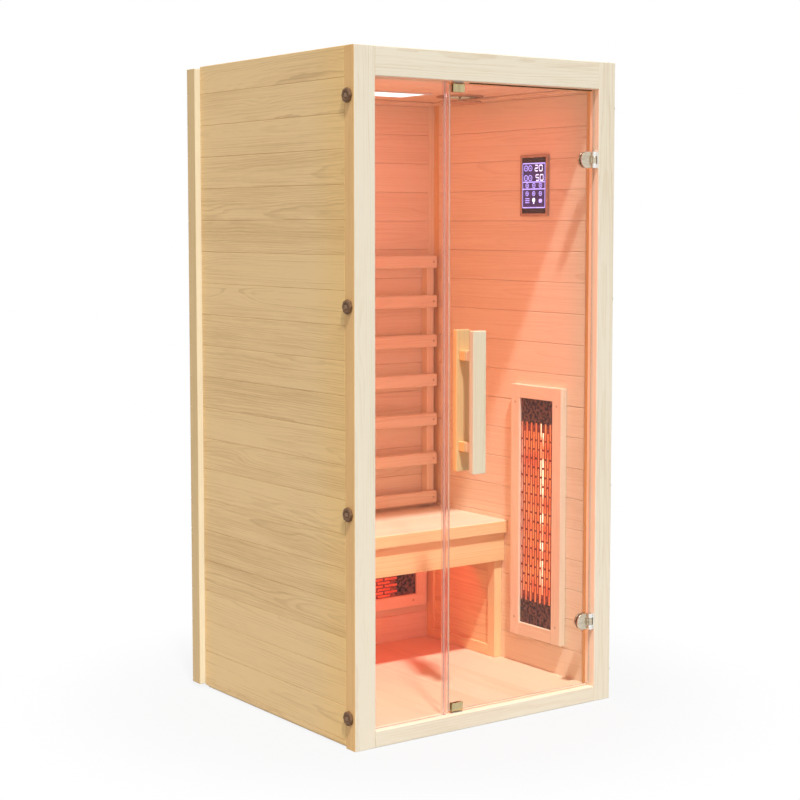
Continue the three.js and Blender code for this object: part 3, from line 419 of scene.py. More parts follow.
@dataclass
class NodeSheet:
    """Small helper that places nodes in a tree and links their inputs."""

    tree: bpy.types.NodeTree

    def place(self, kind: str, inputs: dict | None = None, **settings: object) -> bpy.types.Node:
        """Places a node.

        Args:
            kind: type of the node, without the leading ShaderNode.
            inputs: value or output socket for each input, by name or number.
            settings: properties of the node.

        Returns:
            The node.
        """
        node = self.tree.nodes.new("ShaderNode" + kind)
        for key, value in settings.items():
            setattr(node, key, value)
        for key, value in (inputs or {}).items():
            if isinstance(value, bpy.types.NodeSocket):
                self.tree.links.new(value, node.inputs[key])
            else:
                node.inputs[key].default_value = value
        return node

    def math(self, operation: str, *values: object, clamp: bool = False) -> bpy.types.NodeSocket:
        """Places a Math node and gives its output."""
        return self.place("Math", dict(enumerate(values)), operation=operation, use_clamp=clamp).outputs[0]

    def scaled(self, vector: bpy.types.NodeSocket, scale: Colour) -> bpy.types.NodeSocket:
        """Multiplies a vector by a constant one."""
        return self.place("VectorMath", {0: vector, 1: scale}, operation="MULTIPLY").outputs[0]

    def noise(self, vector: bpy.types.NodeSocket, scale: float, detail: float = 2.0, rough: float = 0.5) -> bpy.types.NodeSocket:
        """Places a Noise Texture and gives its value."""
        return self.place("TexNoise", {"Vector": vector, "Scale": scale, "Detail": detail, "Roughness": rough}).outputs[0]

    def step(self, value: bpy.types.NodeSocket, low: float, high: float) -> bpy.types.NodeSocket:
        """Smooth step from 0 at low to 1 at high."""
        inputs = {"Value": value, "From Min": low, "From Max": high}
        return self.place("MapRange", inputs, interpolation_type="SMOOTHSTEP").outputs[0]

    def blend(self, factor: object, first: object, second: object, how: str = "MIX") -> bpy.types.NodeSocket:
        """Mixes two colours."""
        node = self.place("Mix", {0: factor, 6: first, 7: second}, data_type="RGBA", blend_type=how)
        return node.outputs[2]

    def ray(self, *kinds: str) -> bpy.types.NodeSocket:
        """One where a ray is of one of the kinds that the Light Path node names."""
        path = self.place("LightPath")
        total = path.outputs[kinds[0]]
        for kind in kinds[1:]:
            total = self.math("MAXIMUM", total, path.outputs[kind])
        return total


def group_sheet(name: str, inputs: dict[str, tuple[str, object]], outputs: dict[str, str]) -> tuple[NodeSheet, bpy.types.Node, bpy.types.Node]:
    """Starts a shader node group.

    Args:
        name: name of the group.
        inputs: socket type and default of each input.
        outputs: socket type of each output.

    Returns:
        The sheet of the group, its input node and its output node.
    """
    tree = bpy.data.node_groups.new(name, "ShaderNodeTree")
    for title, (kind, default) in inputs.items():
        socket = tree.interface.new_socket(title, in_out="INPUT", socket_type="NodeSocket" + kind)
        if default is not None:
            socket.default_value = default
    for title, kind in outputs.items():
        tree.interface.new_socket(title, in_out="OUTPUT", socket_type="NodeSocket" + kind)
    return NodeSheet(tree), tree.nodes.new("NodeGroupInput"), tree.nodes.new("NodeGroupOutput")


def pine_grain_group() -> bpy.types.NodeTree:
    """Growth rings of pine cut by a board.

    The ring number is the distance from the pith, warped by slow noise along the log, by swirls round scattered
    points and by the taper of the log, over the ring spacing. Each ring darkens slowly to its late wood and ends sharply. Long streaks, mottling and
    fine fibres lie over it.
    """
    sheet, given, put = group_sheet(
        "pine_grain",
        {
            "Grain": ("Vector", None),
            "Tone": ("Float", 0.5),
            "Light": ("Color", (0.8, 0.65, 0.45, 1)),
            "Dark": ("Color", (0.6, 0.4, 0.2, 1)),
            "Spacing": ("Float", 0.0055),
            "Contrast": ("Float", 1.0),
        },
        {"Color": "Color", "Roughness": "Float", "Height": "Float"},
    )
    grain = given.outputs["Grain"]
    parts = sheet.place("SeparateXYZ", {0: grain})
    cross = sheet.place("CombineXYZ", {1: parts.outputs[1], 2: parts.outputs[2]})
    pith = sheet.place("VectorMath", {0: cross.outputs[0]}, operation="LENGTH").outputs[1]
    slow = sheet.noise(sheet.scaled(grain, (1.1, 5, 5)), 1.0)
    quick = sheet.noise(sheet.scaled(grain, (7, 38, 38)), 1.0)
    eye = sheet.place("TexVoronoi", {"Vector": sheet.scaled(grain, (2.4, 12, 12)), "Scale": 1.0}).outputs["Distance"]
    warp = sheet.math("MULTIPLY_ADD", slow, 0.03, pith)
    warp = sheet.math("MULTIPLY_ADD", quick, 0.006, warp)
    warp = sheet.math("MULTIPLY_ADD", sheet.step(eye, 0.4, 0.0), 0.009, warp)
    warp = sheet.math("MULTIPLY_ADD", parts.outputs[0], 0.011, warp)
    count = sheet.math("DIVIDE", warp, given.outputs["Spacing"])
    phase = sheet.math("FRACT", count)
    late = sheet.math(
        "MULTIPLY", sheet.step(phase, 0.4, 0.88), sheet.math("SUBTRACT", 1.0, sheet.step(phase, 0.9, 1.0))
    )
    year = sheet.place("TexWhiteNoise", {"W": sheet.math("FLOOR", count)}, noise_dimensions="1D").outputs[0]
    late = sheet.math("MULTIPLY", late, sheet.math("MULTIPLY_ADD", year, 0.75, 0.25))
    streak = sheet.noise(sheet.scaled(grain, (2.2, 230, 230)), 1.0, 4.0, 0.7)
    mottle = sheet.noise(sheet.scaled(grain, (2.0, 16, 16)), 1.0, 3.0)
    fibre = sheet.noise(sheet.scaled(grain, (22, 900, 900)), 1.0, 2.0)
    shade = sheet.math("MULTIPLY_ADD", late, 0.4, 0.05)
    for value, weight in ((streak, 1.2), (mottle, 0.75), (fibre, 0.5)):
        shade = sheet.math("MULTIPLY_ADD", sheet.math("SUBTRACT", value, 0.5), weight, shade)
    shade = sheet.math("MULTIPLY", shade, given.outputs["Contrast"])
    shade = sheet.math("MULTIPLY_ADD", sheet.math("SUBTRACT", given.outputs["Tone"], 0.4), 0.2, shade, clamp=True)
    colour = sheet.blend(shade, given.outputs["Light"], given.outputs["Dark"])
    sheet.tree.links.new(colour, put.inputs["Color"])
    sheet.tree.links.new(sheet.math("MULTIPLY_ADD", late, -0.14, 0.56), put.inputs["Roughness"])
    sheet.tree.links.new(sheet.math("MULTIPLY_ADD", fibre, 0.6, sheet.math("MULTIPLY", late, 0.5)), put.inputs["Height"])
    return sheet.tree


def surface_mottle_group() -> bpy.types.NodeTree:
    """Cloudy unevenness of a cast, painted or brushed surface: coarse noise for its colour, fine noise for its height."""
    sheet, given, put = group_sheet(
        "surface_mottle",
        {"Place": ("Vector", None), "Coarse": ("Float", 30.0), "Fine": ("Float", 900.0)},
        {"Cloud": "Float", "Height": "Float"},
    )
    coarse = sheet.place("TexNoise", {"Vector": given.outputs[0], "Scale": given.outputs[1], "Detail": 4.0})
    fine = sheet.place("TexNoise", {"Vector": given.outputs[0], "Scale": given.outputs[2], "Detail": 2.0})
    sheet.tree.links.new(sheet.step(coarse.outputs[0], 0.3, 0.7), put.inputs["Cloud"])
    sheet.tree.links.new(fine.outputs[0], put.inputs["Height"])
    return sheet.tree


@dataclass
class Effects:
    """Shader node groups that the finishes share."""

    pine: bpy.types.NodeTree
    mottle: bpy.types.NodeTree


def new_material(name: str) -> tuple[bpy.types.Material, NodeSheet, bpy.types.Node, bpy.types.Node]:
    """Starts a material.

    Args:
        name: name of the material.

    Returns:
        The material, its sheet, its Principled BSDF and its output node.
    """
    material = bpy.data.materials.new(name)
    material.use_nodes = True
    sheet = NodeSheet(material.node_tree)
    shader = material.node_tree.nodes["Principled BSDF"]
    return material, sheet, shader, material.node_tree.nodes["Material Output"]


# Finishes


class GrainSource(Enum):
    """Where a wood finish takes the grain of a point from."""

    TIMBER = "grain stored with each timber"
    CEILING_BOARDS = "place in a ceiling board, from object coordinates"


@dataclass(frozen=True)
class PineFinish:
    """Planed pine, oiled or raw.

    Attributes:
        name: name of the material.
        light: colour of the early wood.
        dark: colour of the late wood and of the darkest boards.
        spacing: distance between two rings.
        contrast: strength of the grain.
        source: where the grain comes from.
        stain: light and dark colour of the faces at the sides of the cabin or at its front, where they are stained.
        stain_from: distance of those faces from the middle of the cabin.
        stain_axis: X for the faces at both sides, Y for those at the front.
        stain_soft: distance over which the stain sets in.
    """

    name: str
    light: Colour
    dark: Colour
    spacing: float = 0.0055
    contrast: float = 1.0
    source: GrainSource = GrainSource.TIMBER
    stain: tuple[Colour, Colour] | None = None
    stain_from: float = 0.465
    stain_axis: Axis = Axis.X
    stain_soft: float = 0.0015

    def build(self, effects: Effects) -> bpy.types.Material:
        """Builds the material: the ring pattern gives colour, roughness and a fine bump."""
        material, sheet, shader, _ = new_material(self.name)
        if self.source is GrainSource.TIMBER:
            grain = sheet.place("Attribute", attribute_name="grain").outputs["Vector"]
            tone = sheet.place("Attribute", attribute_name="tone").outputs["Fac"]
        else:
            grain, tone = self._ceiling_grain(sheet)
        inputs = {"Grain": grain, "Tone": tone, "Spacing": self.spacing, "Contrast": self.contrast}
        light, dark = (*self.light, 1), (*self.dark, 1)
        if self.stain:
            parts = sheet.place("SeparateXYZ", {0: sheet.place("TexCoord").outputs["Object"]})
            out = parts.outputs[self.stain_axis]
            out = sheet.math("ABSOLUTE", out) if self.stain_axis is Axis.X else sheet.math("MULTIPLY", out, -1.0)
            start = self.stain_from - 0.0003
            mask = sheet.step(out, start - self.stain_soft, start)
            light = sheet.blend(mask, light, (*self.stain[0], 1))
            dark = sheet.blend(mask, dark, (*self.stain[1], 1))
        group = sheet.place("Group", None, node_tree=effects.pine)
        for key, value in {**inputs, "Light": light, "Dark": dark}.items():
            if isinstance(value, bpy.types.NodeSocket):
                sheet.tree.links.new(value, group.inputs[key])
            else:
                group.inputs[key].default_value = value
        bump = sheet.place("Bump", {"Height": group.outputs["Height"], "Strength": 0.16, "Distance": 0.0006})
        sheet.tree.links.new(group.outputs["Color"], shader.inputs["Base Color"])
        sheet.tree.links.new(group.outputs["Roughness"], shader.inputs["Roughness"])
        sheet.tree.links.new(bump.outputs[0], shader.inputs["Normal"])
        shader.inputs["Specular IOR Level"].default_value = 0.35
        return material

    @staticmethod
    def _ceiling_grain(sheet: NodeSheet) -> tuple[bpy.types.NodeSocket, bpy.types.NodeSocket]:
        """Grain of the ceiling's boards, which run from front to back, each 92 mm wide and from its own log."""
        place = sheet.place("SeparateXYZ", {0: sheet.place("TexCoord").outputs["Object"]})
        board = sheet.math("FLOOR", sheet.math("DIVIDE", place.outputs[0], 0.092))
        chance = sheet.place("TexWhiteNoise", {"W": board}, noise_dimensions="1D").outputs[0]
        middle = sheet.math("MULTIPLY", sheet.math("ADD", board, chance), 0.092)
        along = sheet.math("MULTIPLY_ADD", chance, 40.0, place.outputs[1])
        across = sheet.math("SUBTRACT", place.outputs[0], middle)
        deep = sheet.math("SUBTRACT", place.outputs[2], 1.885)
        return sheet.place("CombineXYZ", {0: along, 1: across, 2: deep}).outputs[0], chance


@dataclass(frozen=True)
class CoatFinish:
    """Metal, plastic or paint with a cloudy unevenness.

    Attributes:
        name: name of the material.
        first: one colour of the cloud.
        second: the other colour.
        rough: roughness in the two parts of the cloud.
        metallic: share of metal.
        coarse: scale of the cloud.
        fine: scale of the bump.
        bump: strength of the bump.
        stretch: stretch of the pattern along the axes, as brushing has.
    """

    name: str
    first: Colour
    second: Colour
    rough: tuple[float, float] = (0.4, 0.5)
    metallic: float = 0.0
    coarse: float = 30.0
    fine: float = 900.0
    bump: float = 0.1
    stretch: Colour = (1, 1, 1)

    def build(self, effects: Effects) -> bpy.types.Material:
        """Builds the material."""
        material, sheet, shader, _ = new_material(self.name)
        place = sheet.scaled(sheet.place("TexCoord").outputs["Object"], self.stretch)
        mottle = sheet.place("Group", None, node_tree=effects.mottle)
        sheet.tree.links.new(place, mottle.inputs["Place"])
        mottle.inputs["Coarse"].default_value = self.coarse
        mottle.inputs["Fine"].default_value = self.fine
        cloud = mottle.outputs["Cloud"]
        colour = sheet.blend(cloud, (*self.first, 1), (*self.second, 1))
        rough = sheet.math("MULTIPLY_ADD", cloud, self.rough[1] - self.rough[0], self.rough[0])
        bump = sheet.place("Bump", {"Height": mottle.outputs["Height"], "Strength": self.bump, "Distance": 0.0005})
        sheet.tree.links.new(colour, shader.inputs["Base Color"])
        sheet.tree.links.new(rough, shader.inputs["Roughness"])
        sheet.tree.links.new(bump.outputs[0], shader.inputs["Normal"])
        shader.inputs["Metallic"].default_value = self.metallic
        return material


@dataclass(frozen=True)
class GlassFinish:
    """Clear glass or clear plastic, which lets the light of lamps pass straight.

    Attributes:
        name: name of the material.
        first: tint of the clean surface.
        second: tint of the film on it.
        rough: roughness.
        ior: index of refraction.
        transmission: share of light that passes.
        gloss: share of the reflections that a clean surface would show.
    """

    name: str
    first: Colour
    second: Colour
    rough: float
    ior: float
    transmission: float
    gloss: float

    def build(self, effects: Effects) -> bpy.types.Material:
        """Builds the material: a Principled glass for what is seen, transparent for light that falls through."""
        material, sheet, shader, output = new_material(self.name)
        mottle = sheet.place("Group", None, node_tree=effects.mottle)
        sheet.tree.links.new(sheet.place("TexCoord").outputs["Object"], mottle.inputs["Place"])
        mottle.inputs["Coarse"].default_value = 3.0
        tint = sheet.blend(mottle.outputs["Cloud"], (*self.first, 1), (*self.second, 1))
        sheet.tree.links.new(tint, shader.inputs["Base Color"])
        shader.inputs["Roughness"].default_value = self.rough
        shader.inputs["IOR"].default_value = self.ior
        shader.inputs["Transmission Weight"].default_value = self.transmission
        shader.inputs["Specular Tint"].default_value = (self.gloss,) * 3 + (1,)
        clear = sheet.place("BsdfTransparent", {"Color": (0.93, 0.93, 0.93, 1)})
        light = sheet.ray("Is Shadow Ray", "Is Diffuse Ray")
        mix = sheet.place("MixShader", {0: light, 1: shader.outputs[0], 2: clear.outputs[0]})
        sheet.tree.links.new(mix.outputs[0], output.inputs["Surface"])
        return material


@dataclass(frozen=True)
class GlowFinish:
    """Surface that shines by itself, unevenly: lamp, tubes and display, and as painted light the reflectors, whose glow
    stands in for the tubes' light that they mirror.

    Attributes:
        name: name of the material.
        base: colour when it is off.
        bright: colour of the brightest glow.
        dim: colour of the weakest glow.
        strength: strength of the glow.
        coarse: scale of the unevenness.
        stretch: stretch of the unevenness along the axes.
        rough: roughness.
        fade: heights between which the glow rises from its weakest, or None.
    """

    name: str
    base: Colour
    bright: Colour
    dim: Colour
    strength: float
    coarse: float = 12.0
    stretch: Colour = (1, 1, 1)
    rough: float = 0.4
    fade: tuple[float, float] | None = None

    def build(self, effects: Effects) -> bpy.types.Material:
        """Builds the material."""
        material, sheet, shader, _ = new_material(self.name)
        place = sheet.scaled(sheet.place("TexCoord").outputs["Object"], self.stretch)
        mottle = sheet.place("Group", None, node_tree=effects.mottle)
        sheet.tree.links.new(place, mottle.inputs["Place"])
        mottle.inputs["Coarse"].default_value = self.coarse
        cloud = mottle.outputs["Cloud"]
        if self.fade:
            height = sheet.place("SeparateXYZ", {0: sheet.place("TexCoord").outputs["Object"]}).outputs[2]
            cloud = sheet.math("MAXIMUM", sheet.step(cloud, 0.4, 0.62), sheet.step(height, self.fade[1], self.fade[0]))
        glow = sheet.blend(cloud, (*self.bright, 1), (*self.dim, 1))
        bump = sheet.place("Bump", {"Height": mottle.outputs["Height"], "Strength": 0.08, "Distance": 0.0005})
        sheet.tree.links.new(glow, shader.inputs["Emission Color"])
        sheet.tree.links.new(bump.outputs[0], shader.inputs["Normal"])
        shader.inputs["Emission Strength"].default_value = self.strength
        shader.inputs["Base Color"].default_value = (*self.base, 1)
        shader.inputs["Roughness"].default_value = self.rough
        return material


@dataclass(frozen=True)
class GrilleFinish:
    """Black steel of a heater's grille, with a painted red glow between its plain ends.

    Attributes:
        name: name of the material.
        first: one colour of the steel.
        second: the other colour, of stains from heating.
        glow: colour of the painted glow on the bars, which stands in for the light of the tubes behind them.
        strength: strength of that painted glow.
    """

    name: str
    first: Colour
    second: Colour
    glow: Colour
    strength: float

    def build(self, effects: Effects) -> bpy.types.Material:
        """Builds the material: the painted glow ends where the plain ends of the grille begin."""
        material, sheet, shader, _ = new_material(self.name)
        place = sheet.place("TexCoord").outputs["Object"]
        mottle = sheet.place("Group", None, node_tree=effects.mottle)
        sheet.tree.links.new(place, mottle.inputs["Place"])
        mottle.inputs["Coarse"].default_value = 100
        cloud = sheet.step(mottle.outputs["Cloud"], 0.15, 0.85)
        parts = sheet.place("SeparateXYZ", {0: place})
        wall = sheet.step(sheet.math("ABSOLUTE", parts.outputs[0]), 0.34, 0.38)
        upright = sheet.step(sheet.math("ABSOLUTE", sheet.math("SUBTRACT", parts.outputs[2], 0.535)), 0.285, 0.262)
        lying = sheet.step(sheet.math("ABSOLUTE", parts.outputs[0]), 0.255, 0.235)
        # Painted glow: the bars between the plain ends shine red with the painted light of the tubes behind them.
        painted_glow_mask = sheet.math("MAXIMUM", sheet.math("MULTIPLY", wall, upright), lying)
        glow = sheet.blend(painted_glow_mask, (0, 0, 0, 1), (*self.glow, 1))
        bump = sheet.place("Bump", {"Height": mottle.outputs["Height"], "Strength": 0.3, "Distance": 0.0005})
        sheet.tree.links.new(sheet.blend(cloud, (*self.first, 1), (*self.second, 1)), shader.inputs["Base Color"])
        sheet.tree.links.new(sheet.math("MULTIPLY_ADD", cloud, 0.25, 0.4), shader.inputs["Roughness"])
        sheet.tree.links.new(bump.outputs[0], shader.inputs["Normal"])
        sheet.tree.links.new(glow, shader.inputs["Emission Color"])
        shader.inputs["Emission Strength"].default_value = self.strength
        shader.inputs["Metallic"].default_value = 0.3
        return material


@dataclass
class FinishBook:
    """Finishes of the cabin, each built once.

    Attributes:
        effects: shared node groups.
    """

    effects: Effects
    made: dict[str, bpy.types.Material] = field(default_factory=dict)

    def get(self, finish: "Finish") -> bpy.types.Material:
        """Gives the material of a finish, and builds it the first time."""
        if finish.name not in self.made:
            self.made[finish.name] = finish.build(self.effects)
        return self.made[finish.name]


FRAME_PINE = PineFinish(
    "frame_pine", (0.89, 0.8, 0.635), (0.7, 0.55, 0.35), 0.006, 1.0, stain=((0.84, 0.51, 0.21), (0.52, 0.26, 0.08))
)
HANDLE_PINE = PineFinish("handle_pine", (0.85, 0.73, 0.53), (0.66, 0.49, 0.28), 0.006, 0.7)
# The inner handle's amber is painted light: the heaters' glow on the bar where the outer handle shades it.
AMBER_LIT_HANDLE_PINE = PineFinish("amber_lit_handle_pine", (0.88, 0.62, 0.3), (0.66, 0.4, 0.16), 0.006, 0.7)
CLADDING_PINE = PineFinish(
    "cladding_pine", (0.87, 0.605, 0.3), (0.43, 0.215, 0.066), 0.0046, 0.75,
    stain=((0.89, 0.585, 0.245), (0.44, 0.21, 0.055)), stain_from=0.39, stain_axis=Axis.Y, stain_soft=0.2,
)
BACK_PINE = PineFinish(
    "back_pine", (0.9, 0.81, 0.6), (0.7, 0.55, 0.34), 0.006, 0.8,
    stain=((0.74, 0.52, 0.26), (0.5, 0.32, 0.13)), stain_from=0.484,
)
INTERIOR_PINE = PineFinish("interior_pine", (0.87, 0.735, 0.545), (0.58, 0.39, 0.21), 0.005, 0.6)
CEILING_PINE = PineFinish(
    "ceiling_pine", (0.87, 0.735, 0.545), (0.58, 0.39, 0.21), 0.005, 0.6, source=GrainSource.CEILING_BOARDS
)
FLOOR_PINE = PineFinish("floor_pine", (0.81, 0.63, 0.44), (0.54, 0.34, 0.17), 0.005, 0.6)
BENCH_PINE = PineFinish("bench_pine", (0.87, 0.675, 0.345), (0.6, 0.37, 0.13), 0.0056, 0.8)
SEAT_PINE = PineFinish(
    "seat_pine", (0.87, 0.735, 0.545), (0.58, 0.39, 0.21), 0.005, 0.6,
    stain=((0.87, 0.675, 0.345), (0.6, 0.37, 0.13)), stain_from=0.004, stain_axis=Axis.Y,
)
VENT_PINE = PineFinish(
    "vent_pine", (0.6, 0.4, 0.24), (0.4, 0.24, 0.12), 0.0056, 0.8, source=GrainSource.CEILING_BOARDS
)
CLEAR_GLASS = GlassFinish("clear_glass", (1, 1, 1), (0.985, 0.99, 0.985), 0.0, 1.45, 1.0, 0.25)
DOOR_GLASS = GlassFinish("door_glass", (1, 1, 1), (0.985, 0.99, 0.985), 0.0, 1.45, 1.0, 0.33)
CLEAR_SEAL = GlassFinish("clear_seal", (0.98, 0.87, 0.86), (0.95, 0.83, 0.83), 0.1, 1.14, 0.95, 0.25)
GLASS_EDGE = CoatFinish("glass_edge", (0.74, 0.78, 0.74), (0.62, 0.68, 0.64), (0.2, 0.3), 0.0, 40, 900, 0.05)
SATIN_NICKEL = CoatFinish(
    "satin_nickel", (0.68, 0.6, 0.48), (0.56, 0.48, 0.36), (0.2, 0.28), 1.0, 60, 700, 0.12, (0.3, 0.3, 3)
)
BRIGHT_NICKEL = CoatFinish(
    "bright_nickel", (0.92, 0.9, 0.87), (0.84, 0.82, 0.78), (0.14, 0.2), 1.0, 60, 700, 0.08, (0.3, 0.3, 3)
)
BRASS_NICKEL = CoatFinish(
    "brass_nickel", (0.6, 0.5, 0.28), (0.5, 0.41, 0.22), (0.24, 0.32), 1.0, 60, 700, 0.12, (3, 0.3, 0.3)
)
MAGNET_STEEL = CoatFinish("magnet_steel", (0.5, 0.5, 0.5), (0.4, 0.4, 0.41), (0.3, 0.42), 1.0, 90, 900, 0.08)
CAP_BROWN = CoatFinish("cap_brown", (0.12, 0.052, 0.018), (0.2, 0.1, 0.04), (0.55, 0.7), 0.0, 160, 1500, 0.3)
CAP_RIDGE = CoatFinish("cap_ridge", (0.4, 0.26, 0.17), (0.3, 0.18, 0.11), (0.45, 0.6), 0.0, 160, 1500, 0.2)
# Plain dark finish of the thin strip above the door's upper edge.
DARK_HEAD_STRIP = CoatFinish("dark_head_strip", (0.12, 0.09, 0.035), (0.16, 0.115, 0.05), (0.6, 0.7), 0.0, 90, 1500, 0.2)
# The grille's red glow is painted light of the tubes behind it.
GRILLE_BLACK = GrilleFinish("grille_black", (0.008, 0.004, 0.003), (0.2, 0.085, 0.053), (0.7, 0.045, 0.012), 0.3)
BEZEL_BROWN = CoatFinish("bezel_brown", (0.55, 0.37, 0.24), (0.45, 0.29, 0.18), (0.35, 0.45), 0.0, 70, 900, 0.1)
DISPLAY_BLACK = CoatFinish("display_black", (0.02, 0.01, 0.008), (0.04, 0.02, 0.014), (0.18, 0.24), 0.0, 14, 600, 0.01)
LAMP_WHITE = CoatFinish("lamp_white", (0.82, 0.81, 0.79), (0.76, 0.75, 0.73), (0.4, 0.5), 0.0, 40, 900, 0.1)
BOX_WHITE = CoatFinish("box_white", (0.78, 0.78, 0.76), (0.72, 0.72, 0.7), (0.45, 0.55), 0.0, 40, 1100, 0.2)
SCREW_STEEL = CoatFinish("screw_steel", (0.56, 0.47, 0.35), (0.42, 0.34, 0.24), (0.3, 0.42), 1.0, 200, 2000, 0.1)
# Dark heads of the hinge screws.
SCREW_DARK = CoatFinish("dark_screw", (0.05, 0.035, 0.025), (0.08, 0.055, 0.04), (0.5, 0.7), 0.5, 200, 2000, 0.1)
# The reflectors' glow is painted light: a painted reflection of the glowing tubes.
REFLECTOR_PAINTED_GLOW = GlowFinish(
    "reflector_steel", (0.5, 0.24, 0.14), (1.0, 0.24, 0.06), (0.7, 0.08, 0.02), 0.85, 16, (1, 1, 1), 0.35
)
TUBE_GLOW = GlowFinish(
    "quartz_tube", (0.9, 0.8, 0.7), (1.0, 0.74, 0.45), (0.75, 0.14, 0.03), 1.5, 16, (1, 1, 1), 0.2, (0.24, 0.42)
)
# Painted glow of the calf heater's reflector: a painted reflection of its red tubes.
CALF_REFLECTOR_PAINTED_GLOW = GlowFinish(
    "calf_reflector_steel", (0.4, 0.14, 0.08), (0.95, 0.07, 0.025), (0.6, 0.03, 0.01), 0.9, 14, (1, 1, 1), 0.35
)
CALF_TUBE = GlowFinish(
    "calf_quartz_tube", (0.8, 0.5, 0.4), (1.0, 0.12, 0.03), (0.6, 0.04, 0.01), 1.0, 12, (1, 1, 1), 0.2
)
DIFFUSER_GLOW = GlowFinish(
    "diffuser_white", (0.9, 0.9, 0.9), (1, 0.97, 0.97), (0.95, 0.9, 0.92), 1.6, 14, (1, 3, 1), 0.4
)
FIELD_GLOW = GlowFinish(
    "display_field", (0.02, 0.01, 0.03), (0.17, 0.065, 0.36), (0.09, 0.03, 0.22), 0.3, 28, (1, 1, 1), 0.3
)
SYMBOL_GLOW = GlowFinish(
    "display_symbols", (0.2, 0.2, 0.4), (0.4, 0.3, 1.0), (0.55, 0.45, 1.0), 1.5, 130, (1, 1, 1), 0.4
)
DIGIT_GLOW = GlowFinish(
    "display_digits", (0.4, 0.4, 0.6), (0.95, 0.9, 1.0), (0.65, 0.55, 1.0), 1.6, 90, (1, 1, 1), 0.4
)

Finish = PineFinish | CoatFinish | GlassFinish | GlowFinish | GrilleFinish


# Sub-assemblies


def corners(node: str) -> tuple[Array, Array]:
    """Lowest and highest corner of a solid at rest."""
    lo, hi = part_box(node)
    return np.array(lo), np.array(hi)


def board_rows(low: float, high: float, groove: float, pitch: float) -> list[tuple[float, float]]:
    """Divides a wall's height into boards.

    Args:
        low: lowest edge.
        high: highest edge.
        groove: height of any one joint.
        pitch: height of a board.

    Returns:
        Lower and upper edge of each board, from the lowest up.
    """
    first = groove - math.floor((groove - low) / pitch) * pitch
    joints = np.arange(first, high - 1e-6, pitch)
    edges = np.concatenate([[low], joints[joints > low + 1e-6], [high]])
    return list(zip(edges[:-1].tolist(), edges[1:].tolist()))


def strips_around(lo: Array, hi: Array, along: Axis, window: tuple[Array, Array] | None) -> list[tuple[Array, Array, bool, bool]]:
    """Cuts a lying board where a window passes through it.

    Args:
        lo: lower corner of the board.
        hi: upper corner.
        along: direction in which the board runs.
        window: lower and upper corner of the window, or None.

    Returns:
        Corners of each strip, and whether its lower and its upper edge are edges of the whole board.
    """
    if window is None or window[1][2] <= lo[2] or window[0][2] >= hi[2]:
        return [(lo, hi, True, True)]
    strips = []
    low, high = max(lo[2], window[0][2]), min(hi[2], window[1][2])
    if low > lo[2]:
        strips.append((lo, np.array([hi[0], hi[1], low]), True, False))
    if high < hi[2]:
        strips.append((np.array([lo[0], lo[1], high]), hi, False, True))
    for end in (0, 1):
        first, last = lo.copy(), hi.copy()
        first[2], last[2] = low, high
        if end == 0:
            last[along] = window[0][along]
        else:
            first[along] = window[1][along]
        strips.append((first, last, low == lo[2], high == hi[2]))
    return strips


@dataclass
class Assembly:
    """Base of the sub-assemblies: puts finished pieces on their bodies."""

    book: FinishBook

    def put(self, shell: Shell, finish: Finish, slot: Slot, body: Body = Body.CABIN, nodes: Sequence[str] = ()) -> bpy.types.Object:
        """Makes a piece of a shell, dresses it and lets it ride on its body.

        Args:
            shell: surfaces of the piece.
            finish: finish of the piece.
            slot: material slot of the record that the finish stands for; not used.
            body: body that the piece moves with.
            nodes: solids that the piece stands for.

        Returns:
            The piece.
        """
        piece = bpy.data.objects.new(shell.name, shell.mesh())
        bpy.context.scene.collection.objects.link(piece)
        piece.data.materials.append(self.book.get(finish))
        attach(piece, body.value)
        if nodes:
            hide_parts(*nodes)
        LOG.info("%s: %d faces on %s", shell.name, len(piece.data.polygons), body.value)
        return piece

    def dress(self, node: str, finish: Finish, nodes: dict[str, bpy.types.Object]) -> None:
        """Gives a solid whose shape is right its finish."""
        for place in nodes[node].material_slots:
            place.material = self.book.get(finish)
        LOG.info("%s: solid kept, finish %s", node, finish.name)


